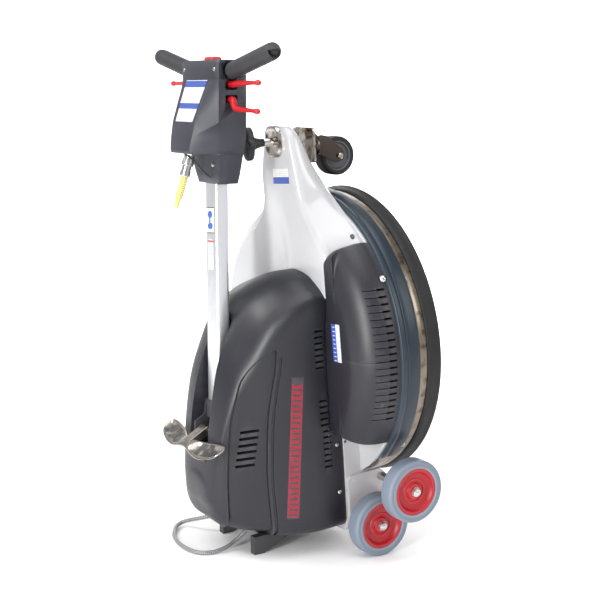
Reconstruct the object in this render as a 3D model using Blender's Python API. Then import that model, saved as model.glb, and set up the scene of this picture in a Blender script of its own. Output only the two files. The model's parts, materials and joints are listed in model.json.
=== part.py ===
"""Walk-behind single-disc floor burnisher with dust control, parked upright on its feet and rear wheels.

Metres, +Z up. The working side (pad) faces +Y and the top side (covers, handle) faces -Y.
The chassis leans back by LEAN, so its parts are drawn in a tilted frame (x, depth, rise):
depth is measured from the skirt's lip along the spindle, rise up the disc from the spindle.
The handle and its head are drawn in the upright frame. All of it stands on z = 0.
"""

from math import acos, atan2, cos, pi, radians, sin, sqrt, tan

import bmesh
import bpy
from mathutils import Matrix, Vector

# ---------------------------------------------------------------- driving dimensions
GAP = 0.0003
LEAN = radians(3.95)
ORIGIN_SHIFT = 0.06155
DISC_Y = 0.119
DISC_Z = 0.407
RIM_RADIUS = 0.2835
SKIRT_RADIUS = 0.290
PAD_RADIUS = 0.254
FLANGE_TOP = -0.092
FLANGE_BOTTOM = -0.084
DECK_TOP = -0.157
REAR_TOP = -0.130
REAR_BOTTOM = -0.064
DECK_WALL = 0.005
COVER_WALL = 0.004
SIDE_X = 0.140
MOTOR_RADIUS = 0.072
TYRE_RADIUS = 0.0604
HUB_RADIUS = 0.0449
WHEEL_WIDTH = 0.033
UPPER_WHEEL = (0.2525, -0.0532, -0.2620)
LOWER_WHEEL = (0.1865, -0.0877, -0.3414)
AXLE_RADIUS = 0.008
TUBE_HALF_X = 0.023
TUBE_FRONT = -0.204
TUBE_BACK = -0.176
TUBE_FOOT = 0.264
TUBE_TOP = 0.745
PIVOT = (-0.190, 0.282)
PEDAL_PIN = (-0.217, 0.243)
HEAD_SPLIT = -0.195
BAR_Z = 0.915
BAR_RADIUS = 0.011
GRIP_RADIUS = 0.0165
GRIP_END = (0.222, -0.195, 0.947)
LEVER_X = 0.072
LEVER_Z = 0.893
LOWER_LEVER_Z = 0.866
LIFT_RISE = 0.391
CASTER_HINGE = (-0.112, 0.402)
CASTER_SWIVEL_RISE = 0.378
CASTER_AXLE = (-0.026, 0.352)
CASTER_RADIUS = 0.038
LEAD_RADIUS = 0.00475
LOOP_RADIUS = 0.004


# ---------------------------------------------------------------- scene and materials
def clear_scene():
    for obj in list(bpy.data.objects):
        bpy.data.objects.remove(obj, do_unlink=True)


def material(name, color, roughness, metallic=0.0):
    mat = bpy.data.materials.new(name)
    mat.use_nodes = True
    shader = mat.node_tree.nodes["Principled BSDF"]
    shader.inputs["Base Color"].default_value = (*color, 1.0)
    shader.inputs["Roughness"].default_value = roughness
    shader.inputs["Metallic"].default_value = metallic
    return mat


def frame(name, location, tilt):
    empty = bpy.data.objects.new(name, None)
    empty.location = location
    empty.rotation_euler = (tilt, 0.0, 0.0)
    bpy.context.scene.collection.objects.link(empty)
    return empty


# ---------------------------------------------------------------- mesh building
def finish_mesh(name, bm, smooth=True):
    bmesh.ops.recalc_face_normals(bm, faces=bm.faces)
    mesh = bpy.data.meshes.new(name)
    bm.to_mesh(mesh)
    bm.free()
    if smooth:
        mesh.shade_smooth()
        mesh.set_sharp_from_angle(angle=radians(32))
    return mesh


def place(name, mesh, mat, parent, origin=(0, 0, 0)):
    """Adds the mesh, drawn in its parent's frame, as an object whose origin is at the given point."""
    mesh.transform(Matrix.Translation(-Vector(origin)))
    mesh.materials.append(mat)
    obj = bpy.data.objects.new(name, mesh)
    obj.location = origin
    obj.parent = parent
    bpy.context.scene.collection.objects.link(obj)
    return obj


def loft(rings):
    """A closed solid through rings of equally many points, with flat ends."""
    bm = bmesh.new()
    made = [[bm.verts.new(p) for p in ring] for ring in rings]
    count = len(made[0])
    for low, high in zip(made, made[1:]):
        for i in range(count):
            j = (i + 1) % count
            bm.faces.new((low[i], low[j], high[j]))
            bm.faces.new((low[i], high[j], high[i]))
    bm.faces.new(made[0])
    bm.faces.new(made[-1])
    return bm


def around(profile, axis, centre, steps=32, start=0.0, sweep=2 * pi):
    """Turns a closed (radius, along) profile about the axis "x" or "y" through centre. Part turns get end caps."""
    whole = abs(sweep - 2 * pi) < 1e-9
    count = steps if whole else steps + 1
    rings = []
    for k in range(count):
        a = start + sweep * k / steps
        ring = []
        for r, h in profile:
            if axis == "x":
                ring.append((centre[0] + h, centre[1] + r * sin(a), centre[2] + r * cos(a)))
            else:
                ring.append((centre[0] + r * sin(a), centre[1] + h, centre[2] + r * cos(a)))
        rings.append(ring)
    if not whole:
        return loft(rings)
    bm = bmesh.new()
    made = [[bm.verts.new(p) for p in ring] for ring in rings]
    n = len(profile)
    for k in range(count):
        a, b = made[k], made[(k + 1) % count]
        for i in range(n):
            j = (i + 1) % n
            bm.faces.new((a[i], a[j], b[j], b[i]))
    return bm


def turned(profile, axis, centre, steps=32):
    """A solid of revolution. The open (radius, along) profile runs from end to end, and its ends are closed flat."""
    rings = []
    for r, h in profile:
        ring = []
        for k in range(steps):
            a = 2 * pi * k / steps
            if axis == "x":
                ring.append((centre[0] + h, centre[1] + r * sin(a), centre[2] + r * cos(a)))
            elif axis == "y":
                ring.append((centre[0] + r * sin(a), centre[1] + h, centre[2] + r * cos(a)))
            else:
                ring.append((centre[0] + r * sin(a), centre[1] + r * cos(a), centre[2] + h))
        rings.append(ring)
    return loft(rings)


def rounded(corners, radii, steps=3):
    """A 2-D outline with each corner replaced by an arc of its radius."""
    out = []
    count = len(corners)
    for i, corner in enumerate(corners):
        p = Vector(corner)
        a = (Vector(corners[i - 1]) - p).normalized()
        b = (Vector(corners[(i + 1) % count]) - p).normalized()
        half = a.angle(b) / 2
        r = radii[i] if isinstance(radii, (list, tuple)) else radii
        middle = p + (a + b).normalized() * (r / sin(half))
        start = p + a * (r / tan(half)) - middle
        end = p + b * (r / tan(half)) - middle
        turn = start.angle_signed(end)
        for k in range(steps + 1):
            spoke = start.copy()
            spoke.rotate(Matrix.Rotation(-turn * k / steps, 2))
            out.append(tuple(middle + spoke))
    return out


def prism(outline, plane, low, high):
    """An outline extruded between two levels. plane "xz" extrudes along y, "yz" along x and "xy" along z."""
    def at(p, level):
        if plane == "xz":
            return (p[0], level, p[1])
        if plane == "yz":
            return (level, p[0], p[1])
        return (p[0], p[1], level)
    return loft([[at(p, low) for p in outline], [at(p, high) for p in outline]])


def block(low, high, radius=0.0, plane="xz"):
    """A box from corner to corner, with the four edges along its extrusion rounded."""
    axes = {"xz": (0, 2, 1), "yz": (1, 2, 0), "xy": (0, 1, 2)}[plane]
    a0, a1 = low[axes[0]], high[axes[0]]
    b0, b1 = low[axes[1]], high[axes[1]]
    corners = [(a0, b0), (a1, b0), (a1, b1), (a0, b1)]
    outline = rounded(corners, radius) if radius else corners
    return prism(outline, plane, low[axes[2]], high[axes[2]])


def tube_along(points, radii, sides=12):
    """A round bar through the points, with flat ends. Each ring stands across the mean of its two runs."""
    path = [Vector(p) for p in points]
    radii = radii if isinstance(radii, (list, tuple)) else [radii] * len(path)
    rings = []
    side = None
    for i, p in enumerate(path):
        ahead = (path[min(i + 1, len(path) - 1)] - p).normalized()
        behind = (p - path[max(i - 1, 0)]).normalized()
        run = (ahead + behind).normalized()
        if side is None:
            side = run.cross(Vector((0, 1, 0))) if abs(run.y) < 0.9 else run.cross(Vector((1, 0, 0)))
        side = (side - run * side.dot(run)).normalized()
        other = run.cross(side)
        ring = [p + (side * cos(2 * pi * k / sides) + other * sin(2 * pi * k / sides)) * radii[i]
                for k in range(sides)]
        rings.append(ring)
    return loft(rings)


def combine(obj, operation, bm, name):
    """Adds an EXACT Boolean to obj, with a hidden helper made from bm in obj's parent frame."""
    mesh = finish_mesh(name, bm, smooth=False)
    helper = bpy.data.objects.new(name, mesh)
    helper.parent = obj.parent
    helper.hide_render = True
    helper.display_type = "WIRE"
    bpy.context.scene.collection.objects.link(helper)
    modifier = obj.modifiers.new(name, "BOOLEAN")
    modifier.operation = operation
    modifier.solver = "EXACT"
    modifier.object = helper
    return obj


def cut(obj, bm, name):
    return combine(obj, "DIFFERENCE", bm, name)


def add(obj, bm, name):
    return combine(obj, "UNION", bm, name)


def hidden(name, bm, parent):
    obj = bpy.data.objects.new(name, finish_mesh(name, bm, False))
    obj.parent = parent
    obj.hide_render = True
    obj.display_type = "WIRE"
    bpy.context.scene.collection.objects.link(obj)
    return obj


def smooth_route(points, count):
    """Points at even steps along a Catmull-Rom curve through the route's own points."""
    path = [Vector(p) for p in points]
    path = [path[0] * 2 - path[1]] + path + [path[-1] * 2 - path[-2]]
    dense = []
    for i in range(1, len(path) - 2):
        p0, p1, p2, p3 = path[i - 1:i + 3]
        for k in range(24):
            t = k / 24
            dense.append(0.5 * (2 * p1 + (p2 - p0) * t + (2 * p0 - 5 * p1 + 4 * p2 - p3) * t ** 2
                                + (3 * p1 - p0 - 3 * p2 + p3) * t ** 3))
    dense.append(path[-2])
    run = [0.0]
    for a, b in zip(dense, dense[1:]):
        run.append(run[-1] + (b - a).length)
    out = []
    k = 0
    for i in range(count):
        want = run[-1] * i / (count - 1)
        while k < len(run) - 2 and run[k + 1] < want:
            k += 1
        share = (want - run[k]) / max(run[k + 1] - run[k], 1e-9)
        out.append(dense[k].lerp(dense[k + 1], min(share, 1.0)))
    return out


def cord_object(name, route, radius, count, mat, parent):
    curve = bpy.data.curves.new(name, "CURVE")
    curve.dimensions = "3D"
    curve.bevel_depth = radius
    curve.bevel_resolution = 2
    curve.use_fill_caps = True
    spline = curve.splines.new("POLY")
    points = smooth_route(route, count)
    spline.points.add(len(points) - 1)
    for point, p in zip(spline.points, points):
        point.co = (*p, 1.0)
    curve.materials.append(mat)
    obj = bpy.data.objects.new(name, curve)
    obj.parent = parent
    bpy.context.scene.collection.objects.link(obj)
    return obj


# ---------------------------------------------------------------- deck
DECK_LEVELS = (
    # depth, then the right half outline (x, rise) from the nose tip round to the rear of the raised housing
    (DECK_TOP, ((0.028, 0.420), (0.045, 0.404), (0.056, 0.370), (0.067, 0.328), (0.082, 0.280), (0.110, 0.244),
                (0.138, 0.213), (0.158, 0.172), (0.157, 0.125), (0.148, 0.085), (0.1390, 0.030))),
    (-0.134, ((0.030, 0.414), (0.047, 0.400), (0.058, 0.368), (0.070, 0.328), (0.085, 0.283), (0.113, 0.248),
              (0.142, 0.217), (0.163, 0.178), (0.164, 0.125), (0.152, 0.085), (0.1395, 0.030))),
    (-0.110, ((0.030, 0.365), (0.047, 0.352), (0.060, 0.335), (0.075, 0.310), (0.093, 0.282), (0.124, 0.250),
              (0.155, 0.220), (0.178, 0.180), (0.180, 0.125), (0.160, 0.085), (0.1395, 0.030))),
    (-0.097, ((0.030, 0.335), (0.046, 0.328), (0.060, 0.318), (0.078, 0.298), (0.102, 0.272), (0.138, 0.244),
              (0.170, 0.212), (0.195, 0.176), (0.195, 0.125), (0.165, 0.085), (0.1395, 0.030))),
    (-0.087, ((0.030, 0.312), (0.046, 0.308), (0.062, 0.300), (0.084, 0.284), (0.118, 0.260), (0.155, 0.232),
              (0.188, 0.200), (0.212, 0.165), (0.205, 0.125), (0.170, 0.085), (0.1395, 0.030))),
)
LEFT_RADII = (0.247, 0.268, 0.278, 0.2825, 0.2833)
LEFT_NOSE = ((0.067, 0.270), (0.078, 0.268), (0.090, 0.268), (0.102, 0.266), (0.112, 0.262))
LEFT_END = 0.1445
HOUSING_REAR = -0.205


def housing_rings(grow, edge=0.0):
    """The raised housing and nose as rings, moved outwards by grow. edge rounds the top over."""
    rings = []
    for (depth, half), radius, nose in zip(DECK_LEVELS, LEFT_RADII, LEFT_NOSE):
        left = [(x, rise) for x, rise in half[:4]] + [nose]
        first = atan2(nose[1] - 0.035, nose[0] + 0.035)
        last = -acos(LEFT_END / radius)
        for k in range(15):
            a = first * (1 - k / 14) + last * k / 14
            left.append((radius * cos(a), radius * sin(a)))
        sides = []
        for line in (half, left):
            moved = []
            for i, (x, rise) in enumerate(line):
                before = line[max(i - 1, 0)]
                after = line[min(i + 1, len(line) - 1)]
                run = Vector((after[0] - before[0], after[1] - before[1])).normalized()
                moved.append((x - run.y * grow, rise + run.x * grow))
            sides.append(moved)
        sides[0].append((sides[0][-1][0], HOUSING_REAR - grow))
        sides[1].append((0.100, sides[1][-1][1] - 0.002))
        outline = sides[0] + [(-x, rise) for x, rise in reversed(sides[1])]
        rings.append([(x, depth, rise) for x, rise in outline])
    if edge:
        middle_rise = 0.2
        crown = [(x * (1 - edge / 0.1), DECK_TOP - edge, middle_rise + (r - middle_rise) * (1 - edge / 0.2))
                 for x, _, r in rings[0]]
        rings.insert(0, crown)
    return rings


def extended(rings, depth_before, depth_after):
    """Rings carried on past their first and last depths, so that a cutter passes right through."""
    first = [(x, depth_before, r) for x, _, r in rings[0]]
    last = [(x, depth_after, r) for x, _, r in rings[-1]]
    return [first] + rings + [last]


def housing_seat():
    """The raised housing, one gap larger: it clears whatever sits against the housing."""
    return loft(extended(housing_rings(GAP, edge=0.003 + GAP), DECK_TOP - 0.0036, -0.05))


def make_deck(mats, chassis):
    bm = turned([(RIM_RADIUS, FLANGE_TOP), (RIM_RADIUS, FLANGE_BOTTOM)], "y", (0, 0, 0), 48)
    deck = place("deck_shell", finish_mesh("deck_shell", bm), mats["white_paint"], chassis)
    add(deck, loft(housing_rings(0.0, edge=0.003)), "deck_housing")
    corners = [(-SIDE_X, -0.365), (SIDE_X, -0.365), (SIDE_X, 0.02), (-SIDE_X, 0.02)]
    rear = rounded(corners, [0.02, 0.02, 0.004, 0.004])
    add(deck, prism(rear, "xz", REAR_TOP, REAR_BOTTOM), "deck_rear_box")
    inner = [[(x, max(d, DECK_TOP + DECK_WALL), r) for x, d, r in ring] for ring in housing_rings(-DECK_WALL)]
    cut(deck, loft(inner + [[(x, -0.05, r) for x, _, r in inner[-1]]]), "deck_hollow")
    wall = SIDE_X - DECK_WALL
    hollow = rounded([(-wall, -0.36), (wall, -0.36), (wall, 0.03), (-wall, 0.03)], [0.015, 0.015, 0.003, 0.003])
    cut(deck, prism(hollow, "xz", REAR_TOP + DECK_WALL, -0.05), "deck_rear_hollow")
    cut(deck, turned([(RIM_RADIUS + 0.003, FLANGE_BOTTOM + GAP), (RIM_RADIUS + 0.003, -0.03)], "y", (0, 0, 0), 48),
        "rim_clearance")
    opening = MOTOR_RADIUS + 0.001
    cut(deck, turned([(opening, -0.2), (opening, -0.1)], "y", (0, 0, 0), 40), "motor_opening")
    cut(deck, turned([(0.0055, -0.2), (0.0055, -0.1)], "y", (0, 0, LIFT_RISE), 12), "lift_rod_hole")
    return deck


def make_rim(mats, chassis):
    band = around([(0.2785, -0.026), (0.2785, FLANGE_BOTTOM + GAP), (RIM_RADIUS, FLANGE_BOTTOM + GAP),
                   (RIM_RADIUS, -0.026)], "y", (0, 0, 0), 48)
    place("housing_rim", finish_mesh("housing_rim", band), mats["band_steel"], chassis)
    inner = RIM_RADIUS + GAP
    section = [(inner, -0.0455), (inner, -0.0865), (0.2870, -0.0865), (0.2905, -0.080), (0.2905, -0.052),
               (0.2870, -0.0455)]
    bare = radians(45)
    bumper = around(section, "y", (0, 0, 0), 36, start=-(pi - bare), sweep=2 * (pi - bare))
    place("bumper", finish_mesh("bumper", bumper), mats["bumper_rubber"], chassis)
    skirt = around([(0.2765, 0.0), (0.2765, -0.0257), (0.2855, -0.0257), (0.2875, -0.012), (SKIRT_RADIUS, -0.004),
                    (SKIRT_RADIUS, 0.0)], "y", (0, 0, 0), 48)
    place("dust_skirt", finish_mesh("dust_skirt", skirt), mats["black_rubber"], chassis)


# ---------------------------------------------------------------- covers
COVER_TOP = ((0.1405, 0.030), (0.149, 0.085), (0.148, 0.106), (0.136, 0.119), (0.120, 0.129), (0.106, 0.137),
             (0.092, 0.143), (0.061, 0.149), (0.022, 0.147), (-0.034, 0.130), (-0.076, 0.116), (-0.110, 0.104),
             (-0.136, 0.090), (-0.147, 0.065), (-0.1405, 0.020))
COVER_RINGS = (
    # depth, crest rise, lower edge's rise, half width, share of the base's own top outline, lower corner radius
    (-0.1303, 0.149, -0.352, 0.1405, 1.00, 0.020),
    (-0.1650, 0.149, -0.352, 0.1405, 1.00, 0.020),
    (-0.1850, 0.149, -0.352, 0.1400, 0.96, 0.020),
    (-0.2100, 0.143, -0.351, 0.1380, 0.80, 0.022),
    (-0.2400, 0.126, -0.348, 0.1330, 0.55, 0.024),
    (-0.2700, 0.100, -0.345, 0.1230, 0.30, 0.026),
    (-0.3050, 0.044, -0.340, 0.1060, 0.00, 0.028),
    (-0.3330, -0.014, -0.333, 0.0920, 0.00, 0.030),
    (-0.3550, -0.093, -0.321, 0.0780, 0.00, 0.030),
    (-0.3700, -0.180, -0.302, 0.0640, 0.00, 0.028),
    (-0.3770, -0.215, -0.278, 0.0500, 0.00, 0.018),
)


def cover_rings(inset):
    """The motor cover's outlines: its own top edge on the deck, going over to a round crest away from it."""
    rings = []
    count = len(COVER_TOP)
    for depth, crest, low, half, share, corner in COVER_RINGS:
        x, b = half - inset, low + inset
        outline = []
        for k in range(7):
            a = -pi / 2 + pi / 2 * k / 6
            outline.append((x - corner + corner * cos(a), b + corner + corner * sin(a)))
        for k, (top_x, top_rise) in enumerate(COVER_TOP):
            a = pi * k / (count - 1)
            dome_x = x * cos(a)
            dome_rise = crest - inset - 0.75 * half * (1 - sin(a) ** 0.9)
            base_x = top_x * x / COVER_RINGS[0][3]
            base_rise = top_rise + crest - COVER_RINGS[0][1] - inset
            outline.append((base_x * share + dome_x * (1 - share), base_rise * share + dome_rise * (1 - share)))
        for k in range(7):
            a = pi + pi / 2 * k / 6
            outline.append((-x + corner + corner * cos(a), b + corner + corner * sin(a)))
        rings.append([(px, depth + inset, pz) for px, pz in outline])
    return rings


def upright_block(low, high):
    """A box in the upright frame, as corner rings in the chassis frame."""
    def lean(x, y, z):
        dy, dz = y - DISC_Y, z - DISC_Z
        return (x, dy * cos(LEAN) + dz * sin(LEAN), -dy * sin(LEAN) + dz * cos(LEAN))
    rings = []
    for z in (low[2], high[2]):
        rings.append([lean(x, y, z) for x, y in
                      ((low[0], low[1]), (high[0], low[1]), (high[0], high[1]), (low[0], high[1]))])
    return loft(rings)


CHANNEL = (
    # z, half width, back
    (0.190, 0.0375, -0.150),
    (0.300, 0.0375, -0.150),
    (0.370, 0.0330, -0.160),
    (0.450, 0.0300, -0.172),
    (0.620, 0.0300, -0.172),
)


def channel_rings(grow):
    """The groove that the folded handle lies in, as rings drawn upright and leaned into the chassis frame."""
    def lean(x, y, z):
        dy, dz = y - DISC_Y, z - DISC_Z
        return (x, dy * cos(LEAN) + dz * sin(LEAN), -dy * sin(LEAN) + dz * cos(LEAN))
    rings = []
    for k, (z, half, back) in enumerate(CHANNEL):
        z, half, back = z - grow if k == 0 else z, half + grow, back + grow
        rings.append([lean(-half, -0.33, z), lean(half, -0.33, z), lean(half, back, z), lean(-half, back, z)])
    return rings


def make_motor_cover(mats, chassis):
    cover = place("motor_cover", finish_mesh("motor_cover", loft(cover_rings(0.0))), mats["dark_plastic"], chassis)
    inner = cover_rings(COVER_WALL)
    inner = [[(x, -0.12, r) for x, _, r in inner[0]]] + inner[1:]
    cut(cover, loft(inner), "cover_hollow")
    liner_obj = hidden("channel_liner_shape", loft(channel_rings(COVER_WALL)), chassis)
    inside = liner_obj.modifiers.new("inside_cover", "BOOLEAN")
    inside.operation = "INTERSECT"
    inside.object = hidden("cover_outer_shape", loft(cover_rings(0.5 * COVER_WALL)), chassis)
    joined = cover.modifiers.new("channel_liner", "BOOLEAN")
    joined.operation = "UNION"
    joined.object = liner_obj
    cut(cover, loft(channel_rings(0.0)), "channel")
    cut(cover, upright_block((-0.0362, -0.20, 0.205), (0.0362, 0.0, 0.302)), "bracket_opening")
    cut(cover, housing_seat(), "deck_seat")
    return cover


# the filter cover's inner edge (x, rise) from its lower to its upper end
SIDE_INNER = ((0.1425, -0.155), (0.1425, 0.030), (0.1510, 0.088), (0.1500, 0.170))
SIDE_COVER_RINGS = (
    # depth, move of the inner edge, outer radius about the spindle, lower and upper rise
    (FLANGE_TOP - GAP, 0.0000, 0.2832, -0.166, 0.208),
    (-0.104, 0.0000, 0.2828, -0.166, 0.208),
    (-0.118, 0.0000, 0.2800, -0.165, 0.206),
    (-0.132, 0.0000, 0.2735, -0.164, 0.203),
    (-0.144, 0.0000, 0.2620, -0.161, 0.199),
    (-0.153, 0.0010, 0.2470, -0.157, 0.193),
    (-0.1585, 0.0035, 0.2300, -0.152, 0.185),
    (-0.160, 0.0070, 0.2150, -0.146, 0.176),
)


def side_outline(move, radius, low, high, inset):
    """An outline whose inner edge follows the motor cover and whose outer edge follows the disc."""
    r, b, t = radius - inset, low + inset, high - inset
    outline = [(x + move + inset, max(rise, b + 0.012)) for x, rise in SIDE_INNER]
    x_low, x_top = outline[0][0], outline[-1][0]
    outline[-1] = (x_top, min(outline[-1][1], t - 0.014))
    a0 = atan2(t, sqrt(max(r * r - t * t, 1e-6)))
    a1 = atan2(b, sqrt(max(r * r - b * b, 1e-6)))
    outer = []
    for k in range(13):
        a = a0 + (a1 - a0) * k / 12
        outer.append((max(r * cos(a), x_low + 0.036 - 2 * inset), r * sin(a)))
    run = outer[0][0] - x_top
    base = outline[-1][1]
    for across, up in ((0.10, 0.45), (0.35, 0.85), (0.70, 0.99)):
        outline.append((x_top + run * across, base + (t - base) * up))
    return outline + outer + [(x_low + 0.016, b), (x_low + 0.005, b + 0.004)]


def make_filter_cover(mats, chassis):
    def rings(inset):
        return [[(x, depth + inset, rise) for x, rise in side_outline(move, r, low, high, inset)]
                for depth, move, r, low, high in SIDE_COVER_RINGS]
    cover = place("filter_cover", finish_mesh("filter_cover", loft(rings(0.0))), mats["dark_plastic"], chassis)
    inner = rings(COVER_WALL)
    inner = [[(x, FLANGE_TOP + 0.01, r) for x, _, r in inner[0]]] + inner[1:]
    cut(cover, loft(inner), "filter_cover_hollow")
    cut(cover, housing_seat(), "filter_cover_seat")
    cartridge = rounded([(0.2002, -0.09), (0.2402, -0.09), (0.2402, 0.09), (0.2002, 0.09)], 0.01)
    place("filter", finish_mesh("filter", prism(cartridge, "xz", -0.120, FLANGE_TOP - GAP)), mats["filter_paper"],
          chassis)


# ---------------------------------------------------------------- drive
def make_drive(mats, chassis):
    motor = turned([(0.050, -0.262), (MOTOR_RADIUS, -0.250), (MOTOR_RADIUS, -0.122), (0.055, -0.122),
                    (0.055, -0.118)], "y", (0, 0, 0), 40)
    body = place("motor_body", finish_mesh("motor_body", motor), mats["motor_grey"], chassis)
    cut(body, turned([(0.0129, -0.20), (0.0129, -0.10)], "y", (0, 0, 0), 24), "motor_bore")
    bearing = around([(0.0125 + GAP, -0.1177), (0.0125 + GAP, -0.106), (0.030, -0.106), (0.030, -0.1177)],
                     "y", (0, 0, 0), 28)
    place("spindle_bearing", finish_mesh("spindle_bearing", bearing), mats["bearing_steel"], chassis)
    shaft = turned([(0.0125, -0.199), (0.0125, -0.0300), (0.035, -0.0300), (0.035, -0.0185)], "y", (0, 0, 0), 24)
    place("spindle", finish_mesh("spindle", shaft), mats["bearing_steel"], chassis)
    fan = place("vacuum_fan", finish_mesh("vacuum_fan", around(
        [(0.0125 + GAP, -0.100), (0.0125 + GAP, -0.070), (0.024, -0.070), (0.024, -0.097), (0.115, -0.097),
         (0.115, -0.100)], "y", (0, 0, 0), 36)), mats["fan_aluminium"], chassis)
    for k in range(8):
        blade = block((-0.0012, -0.098, 0.022), (0.0012, -0.074, 0.112))
        blade.transform(Matrix.Rotation(2 * pi * k / 8, 4, "Y"))
        add(fan, blade, "fan_blade_%d" % k)
    driver = turned([(0.060, -0.0182), (0.060, -0.0150), (0.247, -0.0150), (0.250, -0.0130), (0.250, -0.0062)],
                    "y", (0, 0, 0), 40)
    place("pad_driver", finish_mesh("pad_driver", driver), mats["driver_plastic"], chassis)
    pad = turned([(PAD_RADIUS, -0.0059), (PAD_RADIUS, 0.0095), (PAD_RADIUS - 0.002, 0.0115)], "y", (0, 0, 0), 48)
    place("pad", finish_mesh("pad", pad), mats["pad_fibre"], chassis)


# ---------------------------------------------------------------- rear wheels and feet
def make_wheel(name, label, centre, side, mats, chassis):
    x, depth, rise = centre
    origin = (side * x, depth, rise)
    half = WHEEL_WIDTH / 2
    tyre = around([(0.0452, half), (0.0452, -half), (0.0560, -half), (TYRE_RADIUS, -half + 0.005),
                   (TYRE_RADIUS, half - 0.005), (0.0560, half)], "x", origin, 32)
    place(name + "_tyre_" + label, finish_mesh(name + "_tyre", tyre), mats["tyre_grey"], chassis, origin)
    face, dish = side * (half - 0.002), side * (half - 0.009)
    hub = around([(0.0083, dish + side * 0.004), (0.016, dish + side * 0.004), (0.017, dish), (0.036, dish),
                  (0.040, face), (HUB_RADIUS, face), (HUB_RADIUS, -face), (0.0083, -face)], "x", origin, 24)
    place(name + "_hub_" + label, finish_mesh(name + "_hub", hub), mats["hub_red"], chassis, origin)
    inner = side * 0.1492
    end = side * (x + half - 0.0015)
    bolt = turned([(AXLE_RADIUS, inner), (AXLE_RADIUS, end), (0.0085, end), (0.0085, end + side * 0.004),
                   (0.0060, end + side * 0.006)], "x", (0, depth, rise), 20)
    place(name + "_axle_" + label, finish_mesh(name + "_axle", bolt), mats["bolt_steel"], chassis)


def make_wheel_bracket(label, side, mats, chassis):
    low, high = sorted((side * (SIDE_X + GAP), side * (SIDE_X + 0.0089)))
    outline = rounded([(-0.126, -0.352), (-0.126, -0.250), (-0.090, -0.248), (-0.052, -0.248), (-0.038, -0.262),
                       (-0.072, -0.356)], [0.006, 0.01, 0.003, 0.008, 0.008, 0.012])
    place("wheel_bracket_" + label, finish_mesh("wheel_bracket", prism(outline, "yz", low, high)),
          mats["white_paint"], chassis)


def make_foot(label, side, mats, stand):
    """A wedge under the motor cover's lower edge, with a flat sole on the floor."""
    bottom_rise = COVER_RINGS[0][2] - GAP

    def cover_floor(y):
        return DISC_Z + bottom_rise * cos(LEAN) + tan(LEAN) * (y - DISC_Y + bottom_rise * sin(LEAN))
    outline = [(-0.155, 0.0), (-0.134, 0.0), (-0.078, 0.026), (-0.078, cover_floor(-0.078)),
               (-0.155, cover_floor(-0.155))]
    low, high = sorted((side * 0.058, side * 0.074))
    place("foot_" + label, finish_mesh("foot", prism(outline, "yz", low, high), False), mats["black_plastic"], stand)


# ---------------------------------------------------------------- handle foot and pedal
def make_handle_bracket(mats, stand):
    """A cast fork that reaches from the deck through the motor cover and holds the handle's pivot."""
    back = -0.0342
    ear = rounded([(back, 0.212), (back, 0.296), (-0.203, 0.296), (-0.207, 0.264), (-0.228, 0.252),
                   (-0.228, 0.230), (-0.205, 0.212)], [0.004, 0.004, 0.01, 0.008, 0.006, 0.006, 0.010])
    bm = prism(ear, "yz", -0.0345, -0.0265)
    bracket = place("handle_bracket", finish_mesh("handle_bracket", bm), mats["black_cast"], stand)
    add(bracket, prism(ear, "yz", 0.0265, 0.0345), "bracket_right_ear")
    add(bracket, block((-0.0300, -0.150, 0.214), (0.0300, back, 0.292)), "bracket_web")
    for name, (y, z), r in (("bracket_pivot_bore", PIVOT, 0.0063), ("bracket_pedal_bore", PEDAL_PIN, 0.0053)):
        cut(bracket, turned([(r, -0.05), (r, 0.05)], "x", (0, y, z), 20), name)
    pin = turned([(0.0060, -0.0355), (0.0060, 0.0355)], "x", (0, *PIVOT), 20)
    place("pivot_pin", finish_mesh("pivot_pin", pin), mats["bolt_steel"], stand, (0, *PIVOT))
    bolt = turned([(0.0050, -0.0365), (0.0050, 0.0365)], "x", (0, *PEDAL_PIN), 20)
    place("pedal_pin", finish_mesh("pedal_pin", bolt), mats["chrome"], stand, (0, *PEDAL_PIN))


def make_pedal(mats, stand):
    """A cast butterfly pedal: two wings that sweep out from a boss on the pedal pin."""
    stations = (
        # x, y, z, half length across the wing, half thickness
        (0.0, -0.259, 0.222, 0.012, 0.0055), (0.018, -0.258, 0.221, 0.014, 0.0055),
        (0.039, -0.255, 0.219, 0.019, 0.0050), (0.064, -0.251, 0.220, 0.023, 0.0045),
        (0.089, -0.248, 0.224, 0.022, 0.0040), (0.109, -0.246, 0.229, 0.017, 0.0035),
        (0.116, -0.246, 0.231, 0.008, 0.0025),
    )
    stations = tuple((-x, *rest) for x, *rest in reversed(stations[1:])) + stations
    droop = radians(33)
    rings = []
    for x, y, z, across, thick in stations:
        ring = []
        for k in range(12):
            a = 2 * pi * k / 12
            u, v = across * cos(a), thick * sin(a)
            ring.append((x, y + u * cos(droop) - v * sin(droop), z + u * sin(droop) + v * cos(droop)))
        rings.append(ring)
    pedal = place("foot_pedal", finish_mesh("foot_pedal", loft(rings)), mats["cast_pedal"], stand, (0, *PEDAL_PIN))
    arm = rounded([(-0.263, 0.214), (-0.261, 0.228), (-0.222, 0.2505), (-0.2095, 0.2505), (-0.2095, 0.2355),
                   (-0.220, 0.2320)], 0.003)
    bm = prism(arm, "yz", -0.012, 0.012)
    bm.transform(Matrix.Translation((0, -PEDAL_PIN[0], -PEDAL_PIN[1])))
    helper = hidden("pedal_arm_shape", bm, stand)
    helper.location = (0, *PEDAL_PIN)
    joined = pedal.modifiers.new("pedal_arm", "BOOLEAN")
    joined.operation = "UNION"
    joined.object = helper
    cut(pedal, turned([(0.0053, -0.05), (0.0053, 0.05)], "x", (0, *PEDAL_PIN), 20), "pedal_bore")


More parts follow.
